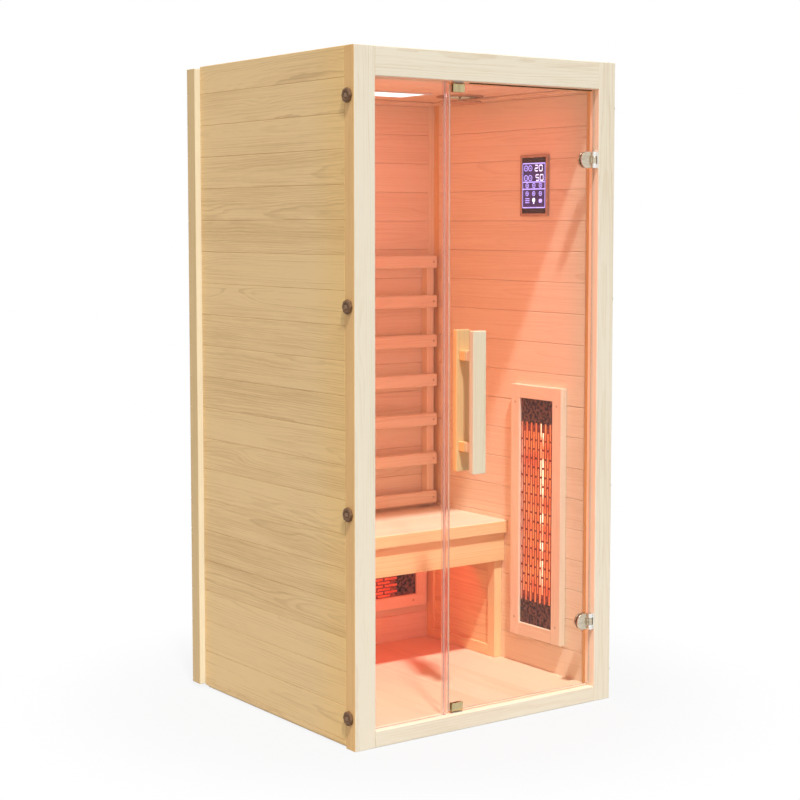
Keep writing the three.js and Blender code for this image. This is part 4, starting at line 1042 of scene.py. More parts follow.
@dataclass
class Walls(Assembly):
    """Side walls and back wall: boards outside and inside on posts and rails."""

    clad: float = 0.012
    top_board: float = 0.083
    pitch: float = 0.0944
    lining_joint: float = 0.130
    lining_pitch: float = 0.0935
    post: float = 0.026
    rail: float = 0.060
    clad_edge: float = 0.0018
    lining_edge: float = 0.0026
    lap: float = 0.001

    def build(self) -> None:
        """Builds the three walls."""
        for side, name in ((-1, "left"), (1, "right")):
            self.side_panel(side, name)
            self.side_lining(side, name)
            self.brads(side, name)
        self.back_panel()
        self.back_lining()

    @staticmethod
    def mirrored(lo: Sequence[float], hi: Sequence[float], side: int) -> tuple[list[float], list[float]]:
        """Corners of a box that is given for the right wall, on the given side."""
        if side > 0:
            return list(lo), list(hi)
        return [-hi[0], lo[1], lo[2]], [-lo[0], hi[1], hi[2]]

    def side_panel(self, side: int, name: str) -> None:
        """Outer boards, two posts and two rails of a side wall."""
        lo, hi = corners("right_wall_panel")
        shell = Shell(f"{name}_wall_boards")
        core = hi[0] - self.clad
        for z0, z1 in board_rows(0.008, hi[2], hi[2] - self.top_board, self.pitch):
            box = self.mirrored((core, lo[1], z0), (hi[0], hi[1], z1), side)
            shell.timber(*box, Axis.Y, self.clad_edge)
        for y0, y1 in ((lo[1], lo[1] + self.post), (hi[1] - self.post, hi[1])):
            shell.timber(*self.mirrored((lo[0], y0, 0), (core + self.lap, y1, hi[2]), side), Axis.Z, 0.0015)
        inner = lo[0] + self.clad
        for z0, z1 in ((0.0, self.rail), (hi[2] - self.rail, hi[2])):
            y0, y1 = lo[1] + self.post - self.lap, hi[1] - self.post + self.lap
            shell.timber(*self.mirrored((inner, y0, z0), (core + self.lap, y1, z1), side), Axis.Y, 0.001)
        self.put(shell, CLADDING_PINE, Slot.CLADDING_PINE, nodes=[f"{name}_wall_panel"])

    def side_lining(self, side: int, name: str) -> None:
        """Inner boards of a side wall, open behind its heater."""
        lo, hi = corners("right_wall_lining")
        trough_lo, trough_hi = corners("right_heater_reflector")
        flange = np.array([0, 0.0117, 0.0117])
        window = (trough_lo + flange, trough_hi - flange)
        shell = Shell(f"{name}_wall_lining_boards")
        for z0, z1 in board_rows(lo[2], hi[2], self.lining_joint, self.lining_pitch):
            board = (np.array([lo[0], lo[1], z0]), np.array([hi[0], hi[1], z1]))
            self.lay(shell, board, Axis.Y, window, side)
        self.put(shell, INTERIOR_PINE, Slot.INTERIOR_PINE, nodes=[f"{name}_wall_lining"])

    def lay(self, shell: Shell, board: tuple[Array, Array], along: Axis, window: tuple[Array, Array], side: int) -> None:
        """Lays a lining board and leaves out what the window takes, with sharp edges where it was cut."""
        for lo, hi, low_edge, high_edge in strips_around(*board, along, window):
            low = self.lining_edge if low_edge else 0.0
            high = self.lining_edge if high_edge else 0.0
            # The outline of a board along Y is (z, x), along X it is (y, z).
            radii = (high, low, low, high) if along is Axis.Y else (high, high, low, low)
            shell.timber(*self.mirrored(lo, hi, side), along, radii, rim=0.0004)

    def brads(self, side: int, name: str) -> None:
        """Heads of the brads that hold the rear ends of the outer boards."""
        lo, hi = corners("right_wall_panel")
        shell = Shell(f"{name}_wall_brads")
        for z0, z1 in board_rows(0.008, hi[2], hi[2] - self.top_board, self.pitch):
            if z1 - z0 < 0.05:
                continue
            for share in (0.28, 0.72):
                centre = (hi[1] - 0.011, z0 + share * (z1 - z0))
                span = sorted((side * (hi[0] - 0.002), side * (hi[0] + 0.0002)))
                shell.bar(lobed_circle(centre, 0.0011, 8), Axis.X, span, 0.0002, 2)
        self.put(shell, SCREW_STEEL, Slot.MAGNET_STEEL)

    def back_panel(self) -> None:
        """Outer boards, two broad posts and two rails of the back wall."""
        lo, hi = corners("back_wall_panel")
        shell = Shell("back_wall_boards")
        skin = hi[1] - self.clad
        for z0, z1 in board_rows(lo[2], hi[2], 1.9 - self.top_board, self.pitch):
            shell.timber((lo[0], skin, z0), (hi[0], hi[1], z1), Axis.X, self.clad_edge)
        inner = 0.3923
        for x0, x1 in ((lo[0], -inner), (inner, hi[0])):
            shell.timber((x0, lo[1], lo[2]), (x1, skin + self.lap / 2, hi[2]), Axis.Z, 0.0015)
        for z0, z1 in ((lo[2], lo[2] + self.rail), (hi[2] - self.rail, hi[2])):
            shell.timber((-inner, lo[1] + self.clad, z0), (inner, skin + self.lap, z1), Axis.X, 0.001)
        self.put(shell, BACK_PINE, Slot.BACK_PINE, nodes=["back_wall_panel"])

    def back_lining(self) -> None:
        """Inner boards of the back wall, open behind the calf heater."""
        lo, hi = corners("back_wall_lining")
        trough_lo, trough_hi = corners("calf_heater_reflector")
        flange = np.array([0.0117, 0, 0.0117])
        window = (trough_lo + flange, trough_hi - flange)
        shell = Shell("back_wall_lining_boards")
        for z0, z1 in board_rows(lo[2], hi[2], self.lining_joint, self.lining_pitch):
            board = (np.array([lo[0], lo[1], z0]), np.array([hi[0], hi[1], z1]))
            self.lay(shell, board, Axis.X, window, 1)
        self.put(shell, INTERIOR_PINE, Slot.INTERIOR_PINE, nodes=["back_wall_lining"])


@dataclass
class FloorAndCeiling(Assembly):
    """Floor panel of glued boards on bearers, and the battens round the ceiling."""

    deck: float = 0.014
    deck_pitch: float = 0.0922
    bearer: float = 0.044
    cornice: float = 0.020
    cornice_drop: float = 0.010

    def build(self, nodes: dict[str, bpy.types.Object]) -> None:
        """Builds the floor and the cornice, and dresses the ceiling panel."""
        lo, hi = corners("floor_panel")
        shell = Shell("floor_boards")
        count = round((hi[0] - lo[0]) / self.deck_pitch)
        edges = np.linspace(lo[0], hi[0], count + 1)
        for x0, x1 in zip(edges[:-1], edges[1:]):
            shell.timber((x0, lo[1], hi[2] - self.deck), (x1, hi[1], hi[2]), Axis.Y, 0.00035)
        under = hi[2] - self.deck + 0.0005
        for x in (lo[0], -self.bearer / 2, hi[0] - self.bearer):
            shell.timber((x, lo[1], 0), (x + self.bearer, hi[1], under), Axis.Y, 0.001)
        for y in (lo[1], hi[1] - self.bearer):
            shell.timber((lo[0], y, 0), (hi[0], y + self.bearer, under), Axis.X, 0.001)
        self.put(shell, FLOOR_PINE, Slot.INTERIOR_PINE, nodes=["floor_panel"])

        lo, hi = corners("ceiling_cornice")
        shell = Shell("cornice_battens")
        size = self.cornice
        lo[2] = hi[2] - self.cornice_drop
        for x in (lo[0], hi[0] - size):
            shell.timber((x, lo[1], lo[2]), (x + size, hi[1], hi[2]), Axis.Y, 0.003, 4)
        for y in (lo[1], hi[1] - size):
            shell.timber((lo[0] + size, y, lo[2]), (hi[0] - size, y + size, hi[2]), Axis.X, 0.003, 4)
        self.put(shell, INTERIOR_PINE, Slot.INTERIOR_PINE, nodes=["ceiling_cornice"])
        self.dress("ceiling_panel", CEILING_PINE, nodes)


@dataclass
class FrontFrame(Assembly):
    """Two stiles and two rails round the glass, and the knobs on the bolts at their sides."""

    edge: float = 0.0028
    knob_lobes: int = 8
    lobe_depth: float = 0.035
    ridge: tuple[float, float] = (0.0016, 0.011)
    ridge_pitch: float = 0.0046
    wood: float = 0.465

    def build(self) -> None:
        """Builds the frame and its knobs."""
        for name, axis in (("left_stile", Axis.Z), ("right_stile", Axis.Z), ("top_rail", Axis.X), ("bottom_rail", Axis.X)):
            lo, hi = corners(f"front_{name}")
            shell = Shell(f"front_{name}_timber")
            shell.timber(lo, hi, axis, self.edge, 4, 0.0018)
            self.put(shell, FRAME_PINE, Slot.FRAME_PINE, nodes=[f"front_{name}"])
        ridges = Shell("bolt_cap_ridges")
        for side, name in ((-1, "left"), (1, "right")):
            for number in range(1, 5):
                self.knob(side, f"{name}_bolt_cap_{number}", ridges)
        self.put(ridges, CAP_RIDGE, Slot.CAP_BROWN)

    def knob(self, side: int, node: str, ridges: Shell) -> None:
        """A lobed knob with a hollow face: rings of a lobed circle from the wood to the rim and into the hollow.

        Args:
            side: 1 on the right of the cabin, -1 on its left.
            node: solid that it stands for.
            ridges: shell that takes the three ridges in the hollow.
        """
        lo, hi = corners(node)
        centre = (lo[1:] + hi[1:]) / 2
        reach = (hi[1] - lo[1]) / 2
        pairs = [(0.92, -0.001), (0.98, 0.0008), (1.0, 0.0026), (0.99, 0.0058), (0.93, 0.0078), (0.78, 0.009)]
        pairs += [(0.6, 0.0088), (0.52, 0.0074), (0.46, 0.0062), (0.3, 0.0066), (0.05, 0.0068)]
        shell = Shell(f"{node}_knob", exact=False)
        outline = lobed_circle(centre, reach, 48, self.knob_lobes, self.lobe_depth)
        profile = [(reach * r, side * (self.wood + h)) for r, h in pairs]
        shell.turned(outline, Axis.X, reach, profile if side > 0 else profile[::-1])
        half = np.array(self.ridge) / 2
        span = sorted((side * (self.wood + 0.0056), side * (self.wood + 0.0086)))
        for step in (-1, 0, 1):
            place = centre + np.array([step * self.ridge_pitch, 0.0])
            ridges.bar(rounded_rectangle(place - half, place + half, (0.0006,) * 4, 3), Axis.X, span, 0.0006)
        self.put(shell, CAP_BROWN, Slot.CAP_BROWN, nodes=[node])


@dataclass
class FrontGlass(Assembly):
    """Fixed pane with its seal, and the glass of the door."""

    corner: float = 0.002
    rim: float = 0.0009
    edge_tilt: float = 0.35
    lip: float = 0.003
    bulb: float = 0.0045
    fin: float = 0.001

    def build(self) -> None:
        """Builds both panes and the seal between them."""
        frame_lo, frame_hi = corners("front_bottom_rail")
        top_lo, _ = corners("front_top_rail")
        lo, hi = corners("fixed_glass")
        # The pane shows from the frame's faces on: what stands in the grooves isn't seen.
        lo[0], lo[2], hi[2] = frame_lo[0] + 0.0001, frame_hi[2] + 0.0001, top_lo[2] - 0.0001
        self.pane("fixed_pane", lo, hi, 0.0, CLEAR_GLASS, "fixed_glass")
        lo, hi = corners("door_glass")
        self.pane("door_pane", lo, hi, self.corner, DOOR_GLASS, "door_glass", Body.DOOR)
        self.seal()

    def seal(self) -> None:
        """A clear strip clipped on the fixed pane's edge: two lips, a bulb past the edge and a fin to the door."""
        lo, hi = corners("fixed_glass_seal")
        _, pane = corners("fixed_glass")
        middle = (lo[1] + hi[1]) / 2
        shell = Shell("fixed_glass_seal_strip")
        bulb = pane[0] + self.bulb
        for x0, x1, y0, y1, ease in (
            (lo[0] + self.lip, pane[0], lo[1], -0.4143, 0.0006),
            (lo[0] + self.lip, pane[0], -0.4057, hi[1], 0.0006),
            (pane[0] + 0.0002, bulb, lo[1], hi[1], 0.0018),
            (bulb + 0.0002, hi[0], middle - self.fin, middle + self.fin, 0.0006),
        ):
            shell.bar(rounded_rectangle((x0, y0), (x1, y1), (ease,) * 4, 4), Axis.Z, (lo[2], hi[2]), 0.0005, 2)
        self.put(shell, CLEAR_SEAL, Slot.CLEAR_SEAL, nodes=["fixed_glass_seal"])

    def pane(
        self, name: str, lo: Array, hi: Array, corner: float, glass: GlassFinish, node: str, body: Body = Body.CABIN
    ) -> None:
        """A sheet of glass with polished edges.

        Args:
            name: name of the piece.
            lo: lower corner.
            hi: upper corner.
            corner: radius of the sheet's corners.
            glass: finish of its faces.
            node: solid that it stands for.
            body: body that it moves with.
        """
        shell = Shell(name)
        outline = rounded_rectangle((lo[2], lo[0]), (hi[2], hi[0]), (corner,) * 4, 5)
        shell.bar(outline, Axis.Y, (lo[1], hi[1]), self.rim, 3)
        piece = self.put(shell, glass, Slot.CLEAR_GLASS, body, [node])
        piece.data.materials.append(self.book.get(GLASS_EDGE))
        normals = np.empty(len(piece.data.polygons) * 3, np.float32)
        piece.data.polygons.foreach_get("normal", normals)
        edge = np.abs(normals.reshape(-1, 3)[:, 1]) < self.edge_tilt
        piece.data.polygons.foreach_set("material_index", edge.astype(np.int32))


@dataclass
class DoorFittings(Assembly):
    """Hinges, catches, handle bars and magnets of the door."""

    knuckle_radius: float = 0.0065
    knuckle_height: float = 0.020
    pin_radius: float = 0.003
    clamp_thickness: float = 0.006
    clip_thickness: float = 0.003
    bar_thickness: float = 0.020
    bar_edge: float = 0.0042
    spacer: tuple[float, float] = (0.030, 0.028)
    spacer_inset: float = 0.058
    strip: tuple[float, float] = (0.004, 0.0036)
    strip_gap: float = 0.0008
    strip_start: float = 0.075

    def build(self, nodes: dict[str, bpy.types.Object]) -> None:
        """Builds the fittings and dresses the magnets."""
        for level in ("lower", "upper"):
            self.hinge(level)
            self.catch(level)
            self.dress(f"{level}_catch_magnet", MAGNET_STEEL, nodes)
        self.head_strip()
        self.handle("outer_handle", -1, HANDLE_PINE)
        # The inner bar's finish carries painted amber light of the heaters.
        self.handle("inner_handle", 1, AMBER_LIT_HANDLE_PINE)

    def head_strip(self) -> None:
        """A thin dark strip under the top rail, just behind the door's upper edge, which keeps the gap above the door
        dark.
        """
        lo, hi = corners("door_glass")
        rail, _ = corners("front_top_rail")
        shell = Shell("door_stop_strip")
        outline = rounded_rectangle(
            (hi[1] + self.strip_gap, rail[2] - self.strip[1]), (hi[1] + self.strip_gap + self.strip[0], rail[2]), (0.0008,) * 4, 3
        )
        shell.bar(outline, Axis.X, (lo[0] + self.strip_start, hi[0]), 0.0005, 2)
        self.put(shell, DARK_HEAD_STRIP, Slot.CAP_BROWN)

    def hinge(self, level: str) -> None:
        """A leaf with two knuckles and the pin on the stile, and the two clamp plates on the glass."""
        leaf_lo, leaf_hi = corners(f"{level}_hinge_jamb_leaf")
        plate_lo, plate_hi = corners(f"{level}_hinge_outer_plate")
        middle = (leaf_lo[2] + leaf_hi[2]) / 2
        axis_x = plate_hi[0] - self.knuckle_radius
        axis_y = plate_lo[1] + self.knuckle_radius
        half = self.knuckle_height / 2
        knuckle = lobed_circle((axis_x, axis_y), self.knuckle_radius, 40)

        shell = Shell(f"{level}_hinge_leaf")
        leaf = rounded_rectangle((leaf_hi[0] - 0.003, leaf_lo[1]), (leaf_hi[0], leaf_hi[1]), (0.0006,) * 4, 3)
        shell.bar(leaf, Axis.Z, (leaf_lo[2], leaf_hi[2]), 0.0006)
        for z0, z1 in ((leaf_lo[2], middle - half - 0.0003), (middle + half + 0.0003, leaf_hi[2])):
            shell.bar(knuckle, Axis.Z, (z0, z1), 0.0008)
            web = rounded_rectangle(
                (axis_x, axis_y - self.pin_radius), (leaf_hi[0] - 0.0015, axis_y + self.pin_radius), (0.0004,) * 4, 2
            )
            shell.bar(web, Axis.Z, (z0 + 0.0004, z1 - 0.0004), 0.0004, 2)
        pin = lobed_circle((axis_x, axis_y), self.pin_radius, 24)
        shell.bar(pin, Axis.Z, (leaf_lo[2], leaf_hi[2]), 0.0006)
        self.put(shell, BRIGHT_NICKEL, Slot.SATIN_NICKEL, nodes=[f"{level}_hinge_jamb_leaf"])

        inner_lo, inner_hi = corners(f"{level}_hinge_inner_plate")
        radius = (inner_hi[2] - inner_lo[2]) / 2
        clamp = clamp_outline(inner_hi[0], (middle, inner_lo[0] + radius), radius, 32)
        face = -0.4143
        shell = Shell(f"{level}_hinge_outer_clamp")
        shell.bar(clamp, Axis.Y, (face - self.clamp_thickness, face), 0.0011, 4)
        shell.bar(knuckle, Axis.Z, (middle - half, middle + half), 0.0008)
        web = rounded_rectangle((inner_hi[0] - 0.006, axis_y), (axis_x, face), (0.0006,) * 4, 2)
        shell.bar(web, Axis.Z, (middle - half, middle + half), 0.0006, 2)
        self.put(shell, SATIN_NICKEL, Slot.SATIN_NICKEL, Body.DOOR, [f"{level}_hinge_outer_plate"])

        shell = Shell(f"{level}_hinge_inner_clamp")
        shell.bar(clamp, Axis.Y, (inner_lo[1], inner_hi[1]), 0.0011, 4)
        self.put(shell, SATIN_NICKEL, Slot.SATIN_NICKEL, Body.DOOR, [f"{level}_hinge_inner_plate"])
        shell = Shell(f"{level}_hinge_screws", exact=False)
        for z in (middle - 0.011, middle + 0.011):
            socket_screw(shell, (z, inner_lo[0] + radius), inner_hi[1], 0.0042)
        self.put(shell, SCREW_DARK, Slot.SATIN_NICKEL, Body.DOOR)

    def catch(self, level: str) -> None:
        """A clip bent over the edge of the glass: a strip carried along a path with two round bends."""
        lo, hi = corners(f"{level}_door_catch")
        t = self.clip_thickness
        bend = 0.0012 + t / 2
        up = 1 if level == "upper" else -1
        edge, mouth = (hi[2], lo[2]) if up > 0 else (lo[2], hi[2])
        left, right = lo[1] + t / 2, hi[1] - t / 2
        crown = edge - up * t / 2
        turn = np.linspace(0, math.pi / 2, 6)
        first = np.stack([left + bend - bend * np.cos(turn), crown - up * bend + up * bend * np.sin(turn)], -1)
        second = np.stack([right - bend + bend * np.sin(turn), crown - up * bend + up * bend * np.cos(turn)], -1)
        path = np.concatenate([[[left, mouth]], first, second, [[right, mouth]]])
        if up < 0:
            path = path[::-1]
        shell = Shell(f"{level}_catch_clip", exact=False)
        shell.bar(ribbon_outline(path, t), Axis.X, (lo[0], hi[0]), 0.0006)
        self.put(shell, BRASS_NICKEL, Slot.SATIN_NICKEL, Body.DOOR, [f"{level}_door_catch"])

    def handle(self, node: str, towards: int, finish: PineFinish) -> None:
        """Builds a rounded bar on two spacers.

        Args:
            node: solid that it stands for.
            towards: 1 where it stands inside the glass, -1 outside.
            finish: its wood; on the inner bar it carries painted amber light of the heaters.
        """
        lo, hi = corners(node)
        glass = -0.4143 if towards < 0 else -0.4057
        far = lo[1] if towards < 0 else hi[1]
        near = far - towards * self.bar_thickness
        shell = Shell(f"{node}_bar")
        y0, y1 = sorted((near, far))
        shell.timber((lo[0], y0, lo[2]), (hi[0], y1, hi[2]), Axis.Z, self.bar_edge, 6, 0.0025)
        middle = (lo[0] + hi[0]) / 2
        y0, y1 = sorted((glass, near + towards * 0.004))
        width, height = self.spacer
        for z0 in (lo[2] + self.spacer_inset, hi[2] - self.spacer_inset - height):
            shell.timber((middle - width / 2, y0, z0), (middle + width / 2, y1, z0 + height), Axis.Y, 0.0025, 4, 0.0006)
        self.put(shell, finish, Slot.FRAME_PINE, Body.DOOR, [node])


def socket_screw(shell: Shell, centre: Sequence[float], face: float, radius: float) -> None:
    """Adds a flat screw head with a six-sided socket to a face that looks along +Y: rings from the rim into the socket."""
    pairs = [(1.0, -0.0004), (1.0, 0.0004), (0.9, 0.0007), (0.52, 0.0007), (0.48, -0.0002), (0.1, -0.0003)]
    shell.turned(
        lobed_circle(centre, radius, 24), Axis.Y, radius, [(radius * r, face + h) for r, h in pairs]
    )


@dataclass
class Bench(Assembly):
    """Seat, apron and framed supports of the bench, and the slatted backrest."""

    seat_boards: int = 4
    nose: float = 0.004
    support_frame: float = 0.036
    support_recess: float = 0.008
    slats: int = 7
    slat_height: float = 0.041
    slat_depth: float = 0.020
    slat_pitch: float = 0.1304
    batten: float = 0.026

    def build(self) -> None:
        """Builds the bench and the backrest."""
        lo, hi = corners("bench_seat")
        shell = Shell("bench_seat_boards")
        edges = np.linspace(lo[1], hi[1], self.seat_boards + 1)
        for number, (y0, y1) in enumerate(zip(edges[:-1], edges[1:])):
            front = self.nose if number == 0 else 0.0003
            # The outline of a board along X is (y, z): its lower y is the front.
            shell.timber((lo[0], y0, lo[2]), (hi[0], y1, hi[2]), Axis.X, (0.0003, front, front, 0.0003), 5, 0.0004)
        self.put(shell, SEAT_PINE, Slot.INTERIOR_PINE, nodes=["bench_seat"])
        lo, hi = corners("bench_apron")
        shell = Shell("bench_apron_board")
        shell.timber(lo, hi, Axis.X, 0.002, 4)
        self.put(shell, BENCH_PINE, Slot.INTERIOR_PINE, nodes=["bench_apron"])
        for side, name in ((-1, "left"), (1, "right")):
            self.support(side, name)
        self.backrest()

    def support(self, side: int, name: str) -> None:
        """A frame of four members with boards set back in it."""
        lo, hi = corners("right_bench_support")
        w = self.support_frame
        shell = Shell(f"{name}_bench_support_panel")
        for y0 in (lo[1], hi[1] - w):
            shell.timber(*Walls.mirrored((lo[0], y0, lo[2]), (hi[0], y0 + w, hi[2]), side), Axis.Z, 0.0018)
        for z0 in (lo[2], hi[2] - w):
            box = Walls.mirrored((lo[0], lo[1] + w, z0), (hi[0], hi[1] - w, z0 + w), side)
            shell.timber(*box, Axis.Y, 0.0018)
        face = lo[0] + self.support_recess
        for z0, z1 in board_rows(lo[2] + w - 0.002, hi[2] - w + 0.002, 0.130, 0.0935):
            box = Walls.mirrored((face, lo[1] + w - 0.002, z0), (hi[0] - 0.001, hi[1] - w + 0.002, z1), side)
            shell.timber(*box, Axis.Y, 0.0016)
        self.put(shell, BENCH_PINE, Slot.INTERIOR_PINE, nodes=[f"{name}_bench_support"])

    def backrest(self) -> None:
        """Rounded slats on two battens, with a screw in each end of each slat."""
        lo, hi = corners("backrest")
        shell = Shell("backrest_slats")
        front = lo[1] + self.slat_depth
        for x0 in (lo[0] + 0.001, hi[0] - 0.001 - self.batten):
            box = ((x0, front - 0.001, lo[2] + 0.001), (x0 + self.batten, hi[1], hi[2] - 0.001))
            shell.timber(*box, Axis.Z, 0.002)
        screws = Shell("backrest_screws", exact=False)
        for number in range(self.slats):
            z = lo[2] + number * self.slat_pitch
            box = ((lo[0], lo[1], z), (hi[0], front, z + self.slat_height))
            shell.timber(*box, Axis.X, 0.0055, 6, 0.003)
            for x in (lo[0] + 0.014, hi[0] - 0.014):
                cross_screw(screws, Axis.Y, (z + self.slat_height / 2, x), lo[1], -1, 0.0038)
        self.put(shell, INTERIOR_PINE, Slot.INTERIOR_PINE, nodes=["backrest"])
        self.put(screws, SCREW_STEEL, Slot.MAGNET_STEEL)


def cross_screw(shell: Shell, axis: Axis, centre: Sequence[float], face: float, out: int, radius: float) -> None:
    """Adds a countersunk screw head with a cross recess: rings of a circle that turn into a four-lobed one inside.

    Args:
        shell: shell that takes the screw.
        axis: direction of the screw.
        centre: its place in the plane of the two axes that follow.
        face: place of the wood's face on the axis.
        out: 1 where the face looks along the axis, -1 where it looks against it.
        radius: radius of the head.
    """
    disc = [(1.0, -0.0008), (1.0, 0.0001), (0.9, 0.0003), (0.55, 0.00035)]
    recess = [(0.53, 0.0003), (0.45, -0.0006), (0.1, -0.001)]
    plain = lobed_circle(centre, radius, 24)
    crossed = lobed_circle(centre, radius, 24, 4, 0.2)
    outer = ring_grid(plain, axis, np.array([radius * (1 - r) for r, _ in disc]), np.array([face + out * h for _, h in disc]), np.zeros(len(disc)))
    inner = ring_grid(crossed, axis, np.array([radius * (1 - r) for r, _ in recess]), np.array([face + out * h for _, h in recess]), np.zeros(len(recess)))
    points = np.concatenate([outer[0], inner[0]])
    normals = np.concatenate([outer[1], inner[1]])
    if out < 0:
        points, normals = points[::-1], normals[::-1]
    shell.grid(points, normals)


@dataclass
class Heaters(Assembly):
    """Wooden frames, steel grilles, reflectors and quartz tubes of the three heaters."""

    border: float = 0.041
    edge: float = 0.0022

    def build(self, nodes: dict[str, bpy.types.Object]) -> None:
        """Builds the frames with their screws and dresses the rest."""
        for name, axis, out in (("left", Axis.X, 1), ("right", Axis.X, -1), ("calf", Axis.Y, -1)):
            self.frame(name, axis, out)
            # The grille's red glow is painted light of the tubes behind it, and the reflectors' glow a painted
            # reflection of the tubes.
            self.dress(f"{name}_heater_grille", GRILLE_BLACK, nodes)
            self.dress(f"{name}_heater_reflector", CALF_REFLECTOR_PAINTED_GLOW if name == "calf" else REFLECTOR_PAINTED_GLOW, nodes)
            self.dress(f"{name}_heater_tube", CALF_TUBE if name == "calf" else TUBE_GLOW, nodes)

    def frame(self, name: str, normal: Axis, out: int) -> None:
        """Two long members, two short ones between them, and screws near the corners."""
        lo, hi = corners(f"{name}_heater_frame")
        long_axis = Axis.Z if normal is Axis.X else Axis.X
        short_axis = Axis.Y if normal is Axis.X else Axis.Z
        shell = Shell(f"{name}_heater_surround")
        screws = Shell(f"{name}_heater_screws", exact=False)
        face = hi[normal] if out > 0 else lo[normal]
        for end in (0, 1):
            first, last = lo.copy(), hi.copy()
            if end == 0:
                last[short_axis] = lo[short_axis] + self.border
            else:
                first[short_axis] = hi[short_axis] - self.border
            shell.timber(first, last, long_axis, self.edge, 4, 0.0012)
            across = (first[short_axis] + last[short_axis]) / 2
            for place in (lo[long_axis] + 0.055, hi[long_axis] - 0.055):
                spot = np.zeros(3)
                spot[short_axis], spot[long_axis] = across, place
                centre = (spot[(normal + 1) % 3], spot[(normal + 2) % 3])
                cross_screw(screws, normal, centre, face, out, 0.0034)
        for end in (0, 1):
            first, last = lo.copy(), hi.copy()
            first[short_axis] += self.border
            last[short_axis] -= self.border
            if end == 0:
                last[long_axis] = lo[long_axis] + self.border
            else:
                first[long_axis] = hi[long_axis] - self.border
            shell.timber(first, last, short_axis, self.edge, 4, 0.0004)
        self.put(shell, INTERIOR_PINE, Slot.INTERIOR_PINE, nodes=[f"{name}_heater_frame"])
        self.put(screws, SCREW_STEEL, Slot.MAGNET_STEEL)


